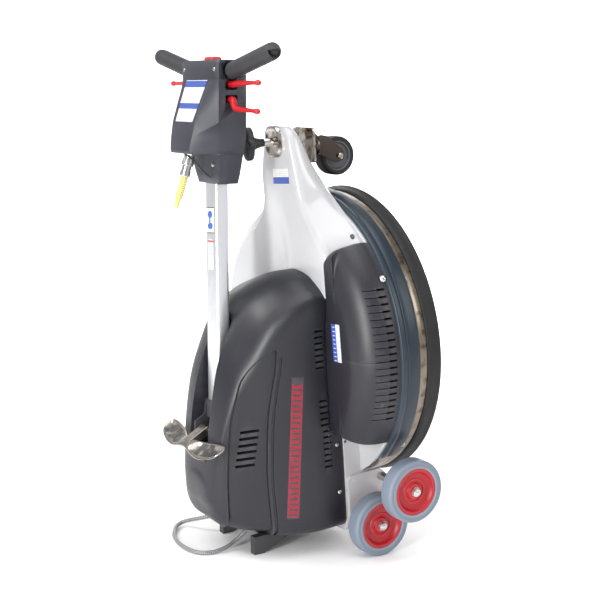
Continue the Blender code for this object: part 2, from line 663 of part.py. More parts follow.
# ---------------------------------------------------------------- handle
def tube_outline(grow=0.0):
    return rounded([(-TUBE_HALF_X - grow, TUBE_FRONT - grow), (TUBE_HALF_X + grow, TUBE_FRONT - grow),
                    (TUBE_HALF_X + grow, TUBE_BACK + grow), (-TUBE_HALF_X - grow, TUBE_BACK + grow)],
                   0.007 + grow, steps=3)


def make_handle_tube(mats, handle):
    tube = prism(tube_outline(), "xy", TUBE_FOOT, TUBE_TOP)
    obj = place("handle_tube", finish_mesh("handle_tube", tube), mats["satin_aluminium"], handle, (0, *PIVOT))
    cut(obj, prism(tube_outline(-0.0025), "xy", TUBE_FOOT - 0.01, TUBE_TOP + 0.01), "tube_bore")
    cut(obj, turned([(0.0063, -0.05), (0.0063, 0.05)], "x", (0, *PIVOT), 20), "tube_pivot_bore")
    shoe = place("tube_shoe", finish_mesh("tube_shoe", prism(
        rounded([(-0.0258, -0.2070), (0.0258, -0.2070), (0.0258, -0.1730), (-0.0258, -0.1730)], 0.008),
        "xy", TUBE_FOOT - 0.002, 0.2960)), mats["black_plastic"], handle)
    cut(shoe, prism(tube_outline(GAP), "xy", TUBE_FOOT - 0.02, 0.33), "shoe_bore")
    cut(shoe, turned([(0.0064, -0.05), (0.0064, 0.05)], "x", (0, *PIVOT), 20), "shoe_pivot_bore")


def make_head(mats, handle):
    """Two mouldings that meet at the handlebar: the rear one over the tube, the front one with the sloping panel."""
    def body_rings(front, back, tucked):
        levels = ((0.7125, 0.0400, 0.012), (0.7660, 0.0610, 0.006), (0.8000, 0.0730, 0.000),
                  (0.9300, 0.0745, 0.000), (0.9360, 0.0715, 0.002))
        out = []
        for z, half, tuck in levels:
            edge = front + tuck * tucked
            corners = [(-half, edge), (half, edge), (half, back), (-half, back)]
            out.append([(x, y, z) for x, y in corners])
        return out
    bar = [(-GRIP_END[0], GRIP_END[1], GRIP_END[2]), (-0.070, -0.195, BAR_Z), (0.070, -0.195, BAR_Z), GRIP_END]
    front = place("head_front", finish_mesh("head_front", loft(body_rings(-0.219, HEAD_SPLIT - GAP, 1))),
                  mats["dark_plastic"], handle)
    wedge_levels = ((0.7680, 0.0390, 0.0600, -0.262), (0.7740, 0.0410, 0.0640, -0.265),
                    (0.8250, 0.0480, 0.0700, -0.2555), (0.9000, 0.0560, 0.0720, -0.2270),
                    (0.9260, 0.0600, 0.0720, -0.2205))
    wedge = []
    for z, face, base, y in wedge_levels:
        wedge.append([(-base, -0.210, z), (-base, -0.219, z), (-face, y, z),
                      (face, y, z), (base, -0.219, z), (base, -0.210, z)])
    add(front, loft(wedge), "head_wedge")
    cavity = [[(x, y, z) for x, y in ((-h, -0.2145), (h, -0.2145), (h, -0.18), (-h, -0.18))]
              for z, h in ((0.7780, 0.060), (0.8000, 0.066), (0.9300, 0.0690))]
    cut(front, loft(cavity), "head_front_cavity")
    rear = place("head_rear", finish_mesh("head_rear", loft(body_rings(HEAD_SPLIT, -0.1660, 0))),
                 mats["dark_plastic"], handle)
    cavity = [[(x, y, z) for x, y in ((-h, -0.21), (h, -0.21), (h, -0.1705), (-h, -0.1705))]
              for z, h in ((0.7780, 0.060), (0.8000, 0.066), (0.9300, 0.0690))]
    cut(rear, loft(cavity), "head_rear_cavity")
    for shell in (front, rear):
        cut(shell, prism(tube_outline(GAP), "xy", 0.70, TUBE_TOP + GAP + 0.002), shell.name + "_tube_socket")
        cut(shell, tube_along(bar, BAR_RADIUS + GAP, 16), shell.name + "_bar_seat")
        for side in (-1, 1):
            low, high = sorted((side * 0.060, side * 0.090))
            cut(shell, block((low, -0.206, LEVER_Z - 0.010), (high, -0.184, LEVER_Z + 0.012)),
                shell.name + "_lever_slot_%d" % (side + 1))
        cut(shell, block((0.060, -0.206, LOWER_LEVER_Z - 0.014), (0.090, -0.184, LOWER_LEVER_Z + 0.008)),
            shell.name + "_lower_lever_slot")
        cut(shell, block((-0.0185, -0.2063, 0.925), (0.0185, -0.1837, 0.95), 0.008, "xy"),
            shell.name + "_button_opening")
    place("handlebar", finish_mesh("handlebar", tube_along(bar, BAR_RADIUS, 16)), mats["bolt_steel"], handle)
    for label, side in (("left", -1), ("right", 1)):
        start = Vector((side * 0.0785, -0.195, BAR_Z + 0.0018))
        end = Vector((side * 0.2290, -0.195, 0.9485))
        stops = ((0.0, GRIP_RADIUS), (0.04, GRIP_RADIUS), (0.90, GRIP_RADIUS), (0.965, 0.0150), (1.0, 0.0100))
        grip = place("grip_" + label, finish_mesh("grip_" + label, tube_along(
            [start.lerp(end, k) for k, _ in stops], [r for _, r in stops], 20)), mats["grip_rubber"], handle)
        middle = (0, -0.195, BAR_Z)
        inside = [bar[0], bar[1], middle] if side < 0 else [middle, bar[2], bar[3]]
        cut(grip, tube_along(inside, BAR_RADIUS + GAP, 16), "grip_bore_" + label)
    switch = block((-0.028, -0.2125, 0.855), (0.028, -0.1725, 0.893), 0.003)
    place("switch_block", finish_mesh("switch_block", switch), mats["black_plastic"], handle)


def make_levers(mats, handle):
    for label, side in (("left", -1), ("right", 1)):
        path = [(side * x, -0.195, z) for x, z in
                ((0.0620, LEVER_Z), (0.078, LEVER_Z), (0.100, LEVER_Z + 0.001), (0.130, LEVER_Z + 0.002),
                 (0.160, LEVER_Z + 0.002), (0.166, LEVER_Z + 0.002), (0.174, LEVER_Z + 0.002),
                 (0.178, LEVER_Z + 0.002))]
        radii = [0.0055, 0.0058, 0.0055, 0.0045, 0.0036, 0.0050, 0.0050, 0.0030]
        place("upper_lever_" + label, finish_mesh("upper_lever", tube_along(path, radii, 12)), mats["lever_red"],
              handle, (side * LEVER_X, -0.195, LEVER_Z))
    path = [(x, -0.195, z) for x, z in
            ((0.0620, LOWER_LEVER_Z), (0.0760, LOWER_LEVER_Z), (0.0805, LOWER_LEVER_Z - 0.0030),
             (0.0825, LOWER_LEVER_Z - 0.0100), (0.0880, LOWER_LEVER_Z - 0.0150), (0.100, LOWER_LEVER_Z - 0.0165),
             (0.130, LOWER_LEVER_Z - 0.0180), (0.155, LOWER_LEVER_Z - 0.0190), (0.162, LOWER_LEVER_Z - 0.0193),
             (0.170, LOWER_LEVER_Z - 0.0197), (0.174, LOWER_LEVER_Z - 0.0200))]
    radii = [0.0060, 0.0060, 0.0062, 0.0060, 0.0056, 0.0050, 0.0042, 0.0036, 0.0050, 0.0050, 0.0030]
    place("lower_lever", finish_mesh("lower_lever", tube_along(path, radii, 12)), mats["lever_red"], handle,
          (LEVER_X, -0.195, LOWER_LEVER_Z))
    cap = rounded([(-0.018, -0.2058), (0.018, -0.2058), (0.018, -0.1842), (-0.018, -0.1842)], 0.008)
    top = rounded([(-0.015, -0.2030), (0.015, -0.2030), (0.015, -0.1870), (-0.015, -0.1870)], 0.006)
    button = loft([[(x, y, z) for x, y in outline]
                   for outline, z in ((cap, 0.9305), (cap, 0.9400), (top, 0.9430))])
    place("start_button", finish_mesh("start_button", button), mats["lever_red"], handle, (0, -0.195, 0.9275))


LEAD_ROUTE = ((0.0, -0.2560, 0.7265), (0.0, -0.2600, 0.7130), (0.0, -0.2645, 0.7000), (0.0, -0.2690, 0.6870),
              (0.0, -0.2740, 0.6700))


def make_mains_lead(mats, handle):
    """A threaded gland under the sloping panel, a woven grip below it and the short lead that hangs from it."""
    lean = Vector((0.0, LEAD_ROUTE[1][1] - LEAD_ROUTE[0][1], LEAD_ROUTE[1][2] - LEAD_ROUTE[0][2])).normalized()
    foot = Vector(LEAD_ROUTE[0]) - lean * GAP
    top = foot - lean * 0.0395
    runs = ((0.0, 0.0098), (0.18, 0.0098), (0.20, 0.0112), (0.48, 0.0112), (0.50, 0.0090), (0.74, 0.0086),
            (0.75, 0.0096), (1.0, 0.0094))
    gland = tube_along([top.lerp(foot, k) for k, _ in runs], [r for _, r in runs], 18)
    place("mains_gland", finish_mesh("mains_gland", gland), mats["nickel"], handle)
    cord_object("mains_lead", LEAD_ROUTE, LEAD_RADIUS, 9, mats["yellow_cord"], handle)
    grip_path = smooth_route(LEAD_ROUTE, 9)[:7]
    grip_path[0] = foot + lean * 2 * GAP
    grip = place("cord_grip", finish_mesh("cord_grip", tube_along(grip_path, 0.0066, 16)), mats["nickel"], handle)
    cut(grip, tube_along([foot - lean * 0.01] + smooth_route(LEAD_ROUTE, 9), LEAD_RADIUS + GAP, 16), "cord_grip_bore")


# ---------------------------------------------------------------- front caster and its height screw
def make_caster(mats, chassis):
    plate = turned([(0.0275, DECK_TOP - 0.0093), (0.0285, DECK_TOP - 0.0080), (0.0285, DECK_TOP - 0.0034)],
                   "y", (0, 0, LIFT_RISE), 32)
    boss = place("lift_plate", finish_mesh("lift_plate", plate), mats["bolt_steel"], chassis)
    cut(boss, turned([(0.0048, -0.20), (0.0048, -0.10)], "y", (0, 0, LIFT_RISE), 16), "lift_plate_bore")
    rod = turned([(0.0042, -0.2040), (0.0042, -0.1190)], "y", (0, 0, LIFT_RISE), 16)
    place("lift_rod", finish_mesh("lift_rod", rod), mats["bolt_steel"], chassis, (0, -0.150, LIFT_RISE))
    lobes = []
    for k in range(32):
        a = 2 * pi * k / 32
        r = 0.0215 + 0.0045 * cos(4 * a) + 0.0058 * cos(2 * a)
        lobes.append((r * sin(a), r * cos(a)))
    levels = ((-0.2230, 0.86), (-0.2200, 1.0), (-0.2100, 1.0), (-0.2070, 0.86), (-0.2060, 0.5))
    rings = [[(x * grow, depth, LIFT_RISE + z * grow) for x, z in lobes] for depth, grow in levels]
    hub = ((-0.2000, 0.012), (-0.1900, 0.0085), (-0.1800, 0.0070))
    for depth, r in hub:
        ring = []
        for k in range(32):
            a = 2 * pi * k / 32
            ring.append((r * sin(a), depth, LIFT_RISE + r * cos(a)))
        rings.append(ring)
    knob = place("lift_knob", finish_mesh("lift_knob", loft(rings)), mats["black_plastic"], chassis,
                 (0, -0.207, LIFT_RISE))
    cut(knob, turned([(0.0045, -0.2043), (0.0045, -0.10)], "y", (0, 0, LIFT_RISE), 16), "knob_bore")
    hinge_depth, hinge_rise = CASTER_HINGE
    ear = rounded([(-0.1290, 0.3905), (-0.1290, 0.4130), (-0.1180, 0.4165), (-0.1020, 0.4110), (-0.1020, 0.3930),
                   (-0.1100, 0.3860)], 0.005)
    bracket = place("caster_bracket", finish_mesh("caster_bracket", prism(ear, "yz", -0.0200, -0.0140)),
                    mats["chrome"], chassis)
    add(bracket, prism(ear, "yz", 0.0140, 0.0200), "caster_bracket_ear")
    pin = turned([(0.0045, -0.0215), (0.0045, 0.0215)], "x", (0, hinge_depth, hinge_rise), 16)
    add(bracket, pin, "caster_hinge_pin")
    cut(bracket, housing_seat(), "caster_bracket_seat")
    arm_side = rounded([(-0.118, 0.398), (-0.112, 0.4085), (-0.094, 0.410), (-0.0855, 0.400), (-0.0855, 0.345),
                        (-0.0900, 0.345), (-0.0975, 0.372), (-0.1045, 0.392)], 0.0022)
    arm = place("caster_arm", finish_mesh("caster_arm", prism(arm_side, "yz", -0.0132, 0.0132)), mats["chrome"],
                chassis, (0, hinge_depth, hinge_rise))
    flange = block((-0.030, -0.0900, 0.345), (0.030, -0.0855, 0.412), 0.006)
    flange.transform(Matrix.Translation((0, -hinge_depth, -hinge_rise)))
    helper = hidden("caster_flange_shape", flange, chassis)
    helper.location = (0, hinge_depth, hinge_rise)
    joined = arm.modifiers.new("caster_flange", "BOOLEAN")
    joined.operation = "UNION"
    joined.object = helper
    cut(arm, turned([(0.0048, -0.05), (0.0048, 0.05)], "x", (0, hinge_depth, hinge_rise), 16), "caster_arm_bore")
    make_caster_fork(mats, chassis)


def make_caster_fork(mats, chassis):
    rise = CASTER_SWIVEL_RISE
    depth, axle_rise = CASTER_AXLE
    head = turned([(0.0190, -0.0852), (0.0190, -0.0780), (0.0215, -0.0745), (0.0215, -0.0700)], "y", (0, 0, rise), 24)
    fork = place("caster_fork", finish_mesh("caster_fork", head), mats["dark_chrome"], chassis, (0, -0.0852, rise))
    cheek = rounded([(-0.0722, 0.360), (-0.0722, 0.398), (-0.050, 0.392), (-0.016, 0.362), (-0.016, 0.343),
                     (-0.036, 0.341)], [0.004, 0.006, 0.012, 0.009, 0.009, 0.012])
    add(fork, prism(cheek, "yz", -0.0200, -0.0172), "fork_cheek_left")
    add(fork, prism(cheek, "yz", 0.0172, 0.0200), "fork_cheek_right")
    add(fork, turned([(0.0040, -0.0215), (0.0040, 0.0215)], "x", (0, depth, axle_rise), 16), "fork_axle")
    half = 0.0155
    wheel = around([(0.0043, half), (0.024, half - 0.003), (0.034, half), (CASTER_RADIUS, half - 0.005),
                    (CASTER_RADIUS, -half + 0.005), (0.034, -half), (0.024, -half + 0.003), (0.0043, -half)],
                   "x", (0, depth, axle_rise), 28)
    place("caster_wheel", finish_mesh("caster_wheel", wheel), mats["black_rubber"], chassis, (0, depth, axle_rise))


# ---------------------------------------------------------------- cable loop under the cover
LOOP_ROUTE = (
    (-0.0800, -0.1600, 0.0330), (-0.0850, -0.1720, 0.0320), (-0.1000, -0.1860, 0.0260), (-0.1220, -0.1960, 0.0175),
    (-0.1380, -0.2060, 0.0100), (-0.1330, -0.2230, 0.0060), (-0.1080, -0.2400, 0.0043), (-0.0830, -0.2510, 0.0042),
    (-0.0450, -0.2580, 0.0042), (-0.0060, -0.2550, 0.0042), (0.0180, -0.2430, 0.0042), (0.0285, -0.2190, 0.0046),
    (0.0260, -0.1920, 0.0075), (0.0220, -0.1720, 0.0140), (0.0240, -0.1590, 0.0240), (0.0270, -0.1500, 0.0330),
)


def make_cable_loop(mats, stand):
    cord_object("cable_loop", LOOP_ROUTE, LOOP_RADIUS, 56, mats["braided_cable"], stand)


def build():
    clear_scene()
    mats = {
        "white_paint": material("white_paint", (0.78, 0.78, 0.80), 0.25),
        "dark_plastic": material("dark_plastic", (0.045, 0.045, 0.055), 0.45),
        "black_plastic": material("black_plastic", (0.015, 0.015, 0.016), 0.5),
        "black_cast": material("black_cast", (0.02, 0.02, 0.022), 0.5, 0.6),
        "black_rubber": material("black_rubber", (0.012, 0.012, 0.013), 0.6),
        "grip_rubber": material("grip_rubber", (0.02, 0.02, 0.022), 0.65),
        "bumper_rubber": material("bumper_rubber", (0.03, 0.045, 0.07), 0.45),
        "band_steel": material("band_steel", (0.20, 0.17, 0.14), 0.35, 0.9),
        "bearing_steel": material("bearing_steel", (0.55, 0.56, 0.58), 0.3, 1.0),
        "bolt_steel": material("bolt_steel", (0.62, 0.60, 0.58), 0.28, 1.0),
        "chrome": material("chrome", (0.70, 0.68, 0.66), 0.12, 1.0),
        "dark_chrome": material("dark_chrome", (0.16, 0.14, 0.13), 0.25, 1.0),
        "nickel": material("nickel", (0.60, 0.60, 0.60), 0.3, 1.0),
        "satin_aluminium": material("satin_aluminium", (0.78, 0.79, 0.82), 0.32, 1.0),
        "fan_aluminium": material("fan_aluminium", (0.6, 0.6, 0.62), 0.45, 1.0),
        "cast_pedal": material("cast_pedal", (0.50, 0.46, 0.42), 0.3, 1.0),
        "motor_grey": material("motor_grey", (0.10, 0.10, 0.11), 0.5, 0.5),
        "driver_plastic": material("driver_plastic", (0.02, 0.02, 0.022), 0.6),
        "pad_fibre": material("pad_fibre", (0.55, 0.30, 0.28), 0.95),
        "filter_paper": material("filter_paper", (0.75, 0.72, 0.62), 0.9),
        "tyre_grey": material("tyre_grey", (0.20, 0.26, 0.32), 0.6),
        "hub_red": material("hub_red", (0.55, 0.01, 0.02), 0.35),
        "lever_red": material("lever_red", (0.60, 0.01, 0.02), 0.35),
        "yellow_cord": material("yellow_cord", (0.75, 0.66, 0.15), 0.5),
        "braided_cable": material("braided_cable", (0.25, 0.25, 0.25), 0.5),
    }
    stand = frame("upright_frame", (0.0, ORIGIN_SHIFT, 0.0), 0.0)
    chassis = frame("chassis_frame", (0.0, DISC_Y + ORIGIN_SHIFT, DISC_Z), LEAN)
    make_deck(mats, chassis)
    make_rim(mats, chassis)
    make_motor_cover(mats, chassis)
    make_filter_cover(mats, chassis)
    make_drive(mats, chassis)
    make_handle_bracket(mats, stand)
    make_pedal(mats, stand)
    make_handle_tube(mats, stand)
    make_head(mats, stand)
    make_levers(mats, stand)
    make_mains_lead(mats, stand)
    make_caster(mats, chassis)
    make_cable_loop(mats, stand)
    for label, side in (("left", -1), ("right", 1)):
        make_wheel_bracket(label, side, mats, chassis)
        make_wheel("upper", label, UPPER_WHEEL, side, mats, chassis)
        make_wheel("lower", label, LOWER_WHEEL, side, mats, chassis)
        make_foot(label, side, mats, stand)


build()
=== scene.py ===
"""Looks for the walk-behind floor burnisher, parked upright on its feet and rear wheels.

Lengths are in metres. Pieces of the chassis are drawn in a tilted frame (x, depth, rise): depth runs along the
spindle from the skirt's lip, rise up the disc from the spindle. The handle and head are drawn upright.
"""

import json
from math import acos, atan2, cos, pi, radians, sin, sqrt, tan

import bmesh
import bpy
from mathutils import Matrix, Vector
from mathutils.bvhtree import BVHTree

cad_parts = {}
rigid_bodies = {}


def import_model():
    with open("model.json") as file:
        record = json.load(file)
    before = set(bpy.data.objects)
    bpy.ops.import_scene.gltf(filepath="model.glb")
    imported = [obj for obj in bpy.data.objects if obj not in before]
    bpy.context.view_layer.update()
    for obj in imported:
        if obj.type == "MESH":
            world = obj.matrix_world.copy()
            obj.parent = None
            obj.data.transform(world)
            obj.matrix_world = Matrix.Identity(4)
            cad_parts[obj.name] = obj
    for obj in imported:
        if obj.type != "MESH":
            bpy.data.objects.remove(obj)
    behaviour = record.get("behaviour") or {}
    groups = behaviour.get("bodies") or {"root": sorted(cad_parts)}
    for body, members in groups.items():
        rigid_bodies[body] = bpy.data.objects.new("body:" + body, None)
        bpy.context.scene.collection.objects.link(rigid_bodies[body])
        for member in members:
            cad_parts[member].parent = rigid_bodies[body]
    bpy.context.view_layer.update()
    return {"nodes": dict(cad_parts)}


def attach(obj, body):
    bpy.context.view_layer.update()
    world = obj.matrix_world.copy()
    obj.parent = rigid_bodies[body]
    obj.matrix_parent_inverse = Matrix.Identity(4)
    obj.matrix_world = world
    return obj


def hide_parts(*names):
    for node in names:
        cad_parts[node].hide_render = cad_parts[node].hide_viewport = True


for item in list(bpy.data.objects):
    bpy.data.objects.remove(item, do_unlink=True)
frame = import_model()
NODES = frame["nodes"]

SHIFT = 0.06155
LEAN = radians(3.95)
DISC_Y, DISC_Z = 0.119, 0.407
UPRIGHT = Matrix.Translation((0, SHIFT, 0))
CHASSIS = Matrix.Translation((0, DISC_Y + SHIFT, DISC_Z)) @ Matrix.Rotation(LEAN, 4, "X")
HEADING = radians(59.19)
PITCH = radians(9.892)
BAR_Y = -0.195
LIFT_RISE = 0.391


# ---------------------------------------------------------------- camera, floor and light
def aim(name, location, target, size, power):
    data = bpy.data.lights.new(name, "AREA")
    data.shape = "RECTANGLE"
    data.size, data.size_y = size
    data.energy = power
    lamp = bpy.data.objects.new(name, data)
    lamp.location = location
    lamp.rotation_euler = (Vector(target) - Vector(location)).to_track_quat("-Z", "Y").to_euler()
    bpy.context.scene.collection.objects.link(lamp)


def make_studio():
    data = bpy.data.cameras.new("camera")
    data.lens = 72.46
    data.sensor_width = 36.0
    camera = bpy.data.objects.new("camera", data)
    camera.location = (2.0141, -1.2105 + SHIFT, 0.8838)
    camera.rotation_euler = (pi / 2 - PITCH, 0.0, HEADING)
    bpy.context.scene.collection.objects.link(camera)
    bpy.context.scene.camera = camera
    world = bpy.data.worlds.new("studio")
    world.use_nodes = True
    sky = world.node_tree.nodes["Background"].inputs
    sky["Color"].default_value = (1.0, 1.0, 1.0, 1.0)
    sky["Strength"].default_value = 0.42
    bpy.context.scene.world = world
    bpy.context.scene.view_settings.view_transform = "Standard"
    aim("strip", (1.35, -2.35, 0.80), (0.15, 0.0, 0.45), (0.30, 1.5), 64)
    aim("key", (-1.0, -1.9, 2.3), (0.0, 0.0, 0.5), (0.8, 0.8), 34)
    aim("right", (2.9, 1.6, 1.9), (0.0, 0.1, 0.5), (1.0, 1.8), 26)
    aim("top", (0.4, -0.2, 3.2), (0.0, 0.0, 0.5), (2.4, 2.4), 26)
    aim("backdrop", (-1.4, 1.9, 2.6), (-2.6, 3.4, 0.3), (2.4, 2.4), 150)
    aim("floor_wash", (0.9, -0.9, 3.4), (0.5, -0.7, 0.0), (3.0, 3.0), 44)
    make_floor()


def make_floor():
    """A pale sheet that lies flat in front of the camera and curves up behind the machine."""
    along = Vector((cos(HEADING), sin(HEADING), 0))
    away = Vector((-sin(HEADING), cos(HEADING), 0))
    flat, bend = 2.4, 1.6
    curve = [(flat + bend * sin(radians(a)), bend - bend * cos(radians(a))) for a in range(6, 91, 6)]
    sweep = [(-7.0, 0.0), (flat, 0.0)] + curve + [(4.0, 7.0)]
    bm = bmesh.new()
    rows = [[bm.verts.new(along * side + away * d + Vector((0, 0, h - 0.0006))) for side in (-9, 9)]
            for d, h in sweep]
    for a, b in zip(rows, rows[1:]):
        bm.faces.new((a[0], a[1], b[1], b[0]))
    mesh = bpy.data.meshes.new("floor")
    bm.to_mesh(mesh)
    mesh.shade_smooth()
    floor = bpy.data.objects.new("floor", mesh)
    bpy.context.scene.collection.objects.link(floor)
    mesh.materials.append(surface("floor_paper", (0.93, 0.93, 0.93), 0.9, mottle=0.005, grain=60, bump=0.02))


# ---------------------------------------------------------------- materials
BLACK, WHITE = (0, 0, 0), (1, 1, 1)


def new_material(name, rough, metallic=0.0):
    """A material, with its node tree and the inputs of its shader."""
    mat = bpy.data.materials.new(name)
    mat.use_nodes = True
    inputs = mat.node_tree.nodes["Principled BSDF"].inputs
    inputs["Roughness"].default_value = rough
    inputs["Metallic"].default_value = metallic
    return mat, mat.node_tree, inputs


def link(tree, a, b):
    tree.links.new(a, b)


def noise(tree, vector, scale, detail=3.0):
    n = tree.nodes.new("ShaderNodeTexNoise")
    n.inputs["Scale"].default_value = scale
    n.inputs["Detail"].default_value = detail
    link(tree, vector, n.inputs["Vector"])
    return n.outputs["Fac"]


def ramp(tree, fac, stops):
    r = tree.nodes.new("ShaderNodeValToRGB")
    while len(r.color_ramp.elements) < len(stops):
        r.color_ramp.elements.new(0.5)
    for element, (at, color) in zip(r.color_ramp.elements, stops):
        element.position = at
        element.color = (*color, 1.0)
    link(tree, fac, r.inputs["Fac"])
    return r.outputs["Color"]


def shade(color, factor):
    return tuple(min(c * factor, 1.0) for c in color)


def math(tree, kind, a, b=None):
    m = tree.nodes.new("ShaderNodeMath")
    m.operation = kind
    for socket, value in zip(m.inputs, (a, b)):
        if isinstance(value, (int, float)):
            socket.default_value = value
        elif value is not None:
            link(tree, value, socket)
    return m.outputs[0]


def product(tree, first, *others):
    for other in others:
        first = math(tree, "MULTIPLY", first, other)
    return first


def ripple(tree, value, count):
    """A sine with the given count of waves for each unit of the value."""
    return math(tree, "SINE", product(tree, value, 2 * pi * count))


def between(tree, value, low, high):
    return product(tree, math(tree, "GREATER_THAN", value, low), math(tree, "LESS_THAN", value, high))


def apart(tree, value, middle):
    return math(tree, "ABSOLUTE", math(tree, "SUBTRACT", value, middle))


def blend_color(tree, fac, a, b):
    m = tree.nodes.new("ShaderNodeMix")
    m.data_type = "RGBA"
    link(tree, fac, m.inputs["Factor"])
    for socket, value in ((m.inputs[6], a), (m.inputs[7], b)):
        if isinstance(value, tuple):
            socket.default_value = (*value, 1.0)
        else:
            link(tree, value, socket)
    return m.outputs[2]


def add_relief(tree, inputs, height, strength, depth):
    bump = tree.nodes.new("ShaderNodeBump")
    bump.inputs["Strength"].default_value = strength
    bump.inputs["Distance"].default_value = depth
    link(tree, height, bump.inputs["Height"])
    link(tree, bump.outputs["Normal"], inputs["Normal"])


def object_axes(tree):
    return tree.nodes.new("ShaderNodeTexCoord").outputs["Object"]


def uv_axes(tree):
    split = tree.nodes.new("ShaderNodeSeparateXYZ")
    link(tree, tree.nodes.new("ShaderNodeUVMap").outputs["UV"], split.inputs["Vector"])
    return split.outputs["X"], split.outputs["Y"]


def surface(name, color, rough, metallic=0.0, mottle=0.08, grain=700.0, bump=0.15, depth=0.0002,
            stretch=(1, 1, 1),
            edge=None, coat=0.0, dirt=None):
    """A Principled finish whose colour, gloss and relief all vary a little, at the scales given."""
    mat, tree, inputs = new_material(name, rough, metallic)
    if coat:
        inputs["Coat Weight"].default_value = coat
        inputs["Coat Roughness"].default_value = 0.12
    mapping = tree.nodes.new("ShaderNodeMapping")
    mapping.inputs["Scale"].default_value = stretch
    link(tree, object_axes(tree), mapping.inputs["Vector"])
    vector = mapping.outputs["Vector"]
    broad = noise(tree, vector, 7.0, 4.0)
    tone = ramp(tree, broad, ((0.32, shade(color, 1 - mottle)), (0.68, shade(color, 1 + mottle))))
    if dirt:
        speck = ramp(tree, noise(tree, vector, 60.0, 5.0), ((0.50, BLACK), (0.66, WHITE)))
        tone = blend_color(tree, speck, tone, dirt)
    # Sharp convex edges, found by pointiness, are blended towards the edge colour, which is lighter than the base
    # colour.
    if edge:
        edge_sharpness = tree.nodes.new("ShaderNodeNewGeometry").outputs["Pointiness"]
        tone = blend_color(tree, ramp(tree, edge_sharpness, ((0.515, BLACK), (0.60, WHITE))), tone, edge)
    link(tree, tone, inputs["Base Color"])
    gloss = tree.nodes.new("ShaderNodeMapRange")
    link(tree, noise(tree, vector, 23.0, 3.0), gloss.inputs["Value"])
    gloss.inputs["To Min"].default_value = max(rough - 0.07, 0.03)
    gloss.inputs["To Max"].default_value = min(rough + 0.07, 1.0)
    link(tree, gloss.outputs["Result"], inputs["Roughness"])
    add_relief(tree, inputs, noise(tree, vector, grain, 2.0), bump, depth)
    return mat


def braid(name, light, dark, turns, pitch, metallic, rough):
    """Two sets of strands that wind opposite ways round a cord. u goes once round and v is metres along."""
    mat, tree, inputs = new_material(name, rough, metallic)
    u, v = uv_axes(tree)
    around, along = product(tree, u, 2 * pi * turns), product(tree, v, 2 * pi / pitch)
    strands = [math(tree, "SINE", math(tree, way, around, along)) for way in ("ADD", "SUBTRACT")]
    height = product(tree, math(tree, "ADD", product(tree, *strands), 1.0), 0.5)
    # The colour follows the strand height, dark in the dips between strands and light on their crowns: painted
    # shade in the weave.
    link(tree, ramp(tree, height, ((0.25, dark), (0.62, light))), inputs["Base Color"])
    add_relief(tree, inputs, height, 0.7, 0.0006)
    return mat


def sticker(name, base, bands, lines):
    """A printed label. bands are (low, high, colour) shares of its height, and lines are fine grey rules."""
    mat, tree, inputs = new_material(name, 0.4)
    u, v = uv_axes(tree)
    paper = noise(tree, object_axes(tree), 90.0, 3.0)
    tone = blend_color(tree, ramp(tree, paper, ((0.4, BLACK), (0.7, WHITE))), base, shade(base, 0.9))
    count, color, low, high = lines
    rule = math(tree, "GREATER_THAN", ripple(tree, v, count), 0.35)
    gap = math(tree, "GREATER_THAN", noise(tree, tree.nodes.new("ShaderNodeUVMap").outputs["UV"], 14.0, 0.0),
               0.42)
    mask = product(tree, rule, gap, between(tree, u, 0.1, 0.9), between(tree, v, low, high))
    tone = blend_color(tree, mask, tone, color)
    for low, high, color in bands:
        tone = blend_color(tree, between(tree, v, low, high), tone, color)
    link(tree, tone, inputs["Base Color"])
    return mat


def grained(tree, color):
    paper = noise(tree, object_axes(tree), 120.0, 3.0)
    return ramp(tree, paper, ((0.35, shade(color, 0.86)), (0.65, shade(color, 1.08))))


def split_sticker(name, left, right):
    """A label with a coloured left half and a pale right half."""
    mat, tree, inputs = new_material(name, 0.4)
    u, v = uv_axes(tree)
    tone = blend_color(tree, math(tree, "GREATER_THAN", u, 0.52), grained(tree, left), grained(tree, right))
    rule = math(tree, "GREATER_THAN", ripple(tree, v, 9), 0.72)
    mask = product(tree, rule, between(tree, u, 0.14, 0.42))
    link(tree, blend_color(tree, mask, tone, (0.45, 0.52, 0.72)), inputs["Base Color"])
    return mat


def ladder_stripe(name, ink, ground):
    """A long band with rungs between two edge lines."""
    mat, tree, inputs = new_material(name, 0.5)
    u, v = uv_axes(tree)
    rung = math(tree, "GREATER_THAN", ripple(tree, v, 26), -0.25)
    side = math(tree, "GREATER_THAN", apart(tree, u, 0.5), 0.33)
    rim = math(tree, "LESS_THAN", apart(tree, u, 0.5), 0.44)
    mask = product(tree, math(tree, "MAXIMUM", rung, side), between(tree, v, 0.012, 0.955), rim)
    link(tree, blend_color(tree, mask, grained(tree, ground), grained(tree, ink)), inputs["Base Color"])
    return mat


def dot_sticker(name, ground, ink):
    """A pale label with two round marks joined by a bar, and dark rules at its ends."""
    mat, tree, inputs = new_material(name, 0.4)
    u, v = uv_axes(tree)

    def spot(cu, cv, ru, rv):
        du, dv = [math(tree, "POWER", math(tree, "DIVIDE", apart(tree, axis, middle), radius), 2.0)
                  for axis, middle, radius in ((u, cu, ru), (v, cv, rv))]
        return math(tree, "LESS_THAN", math(tree, "ADD", du, dv), 1.0)

    marks = math(tree, "MAXIMUM", spot(0.48, 0.72, 0.30, 0.15), spot(0.50, 0.28, 0.34, 0.13))
    marks = math(tree, "MAXIMUM", marks, spot(0.44, 0.50, 0.10, 0.20))
    tone = blend_color(tree, marks, grained(tree, ground), grained(tree, ink))
    ends = math(tree, "GREATER_THAN", apart(tree, v, 0.5), 0.465)
    link(tree, blend_color(tree, ends, tone, (0.04, 0.04, 0.05)), inputs["Base Color"])
    return mat


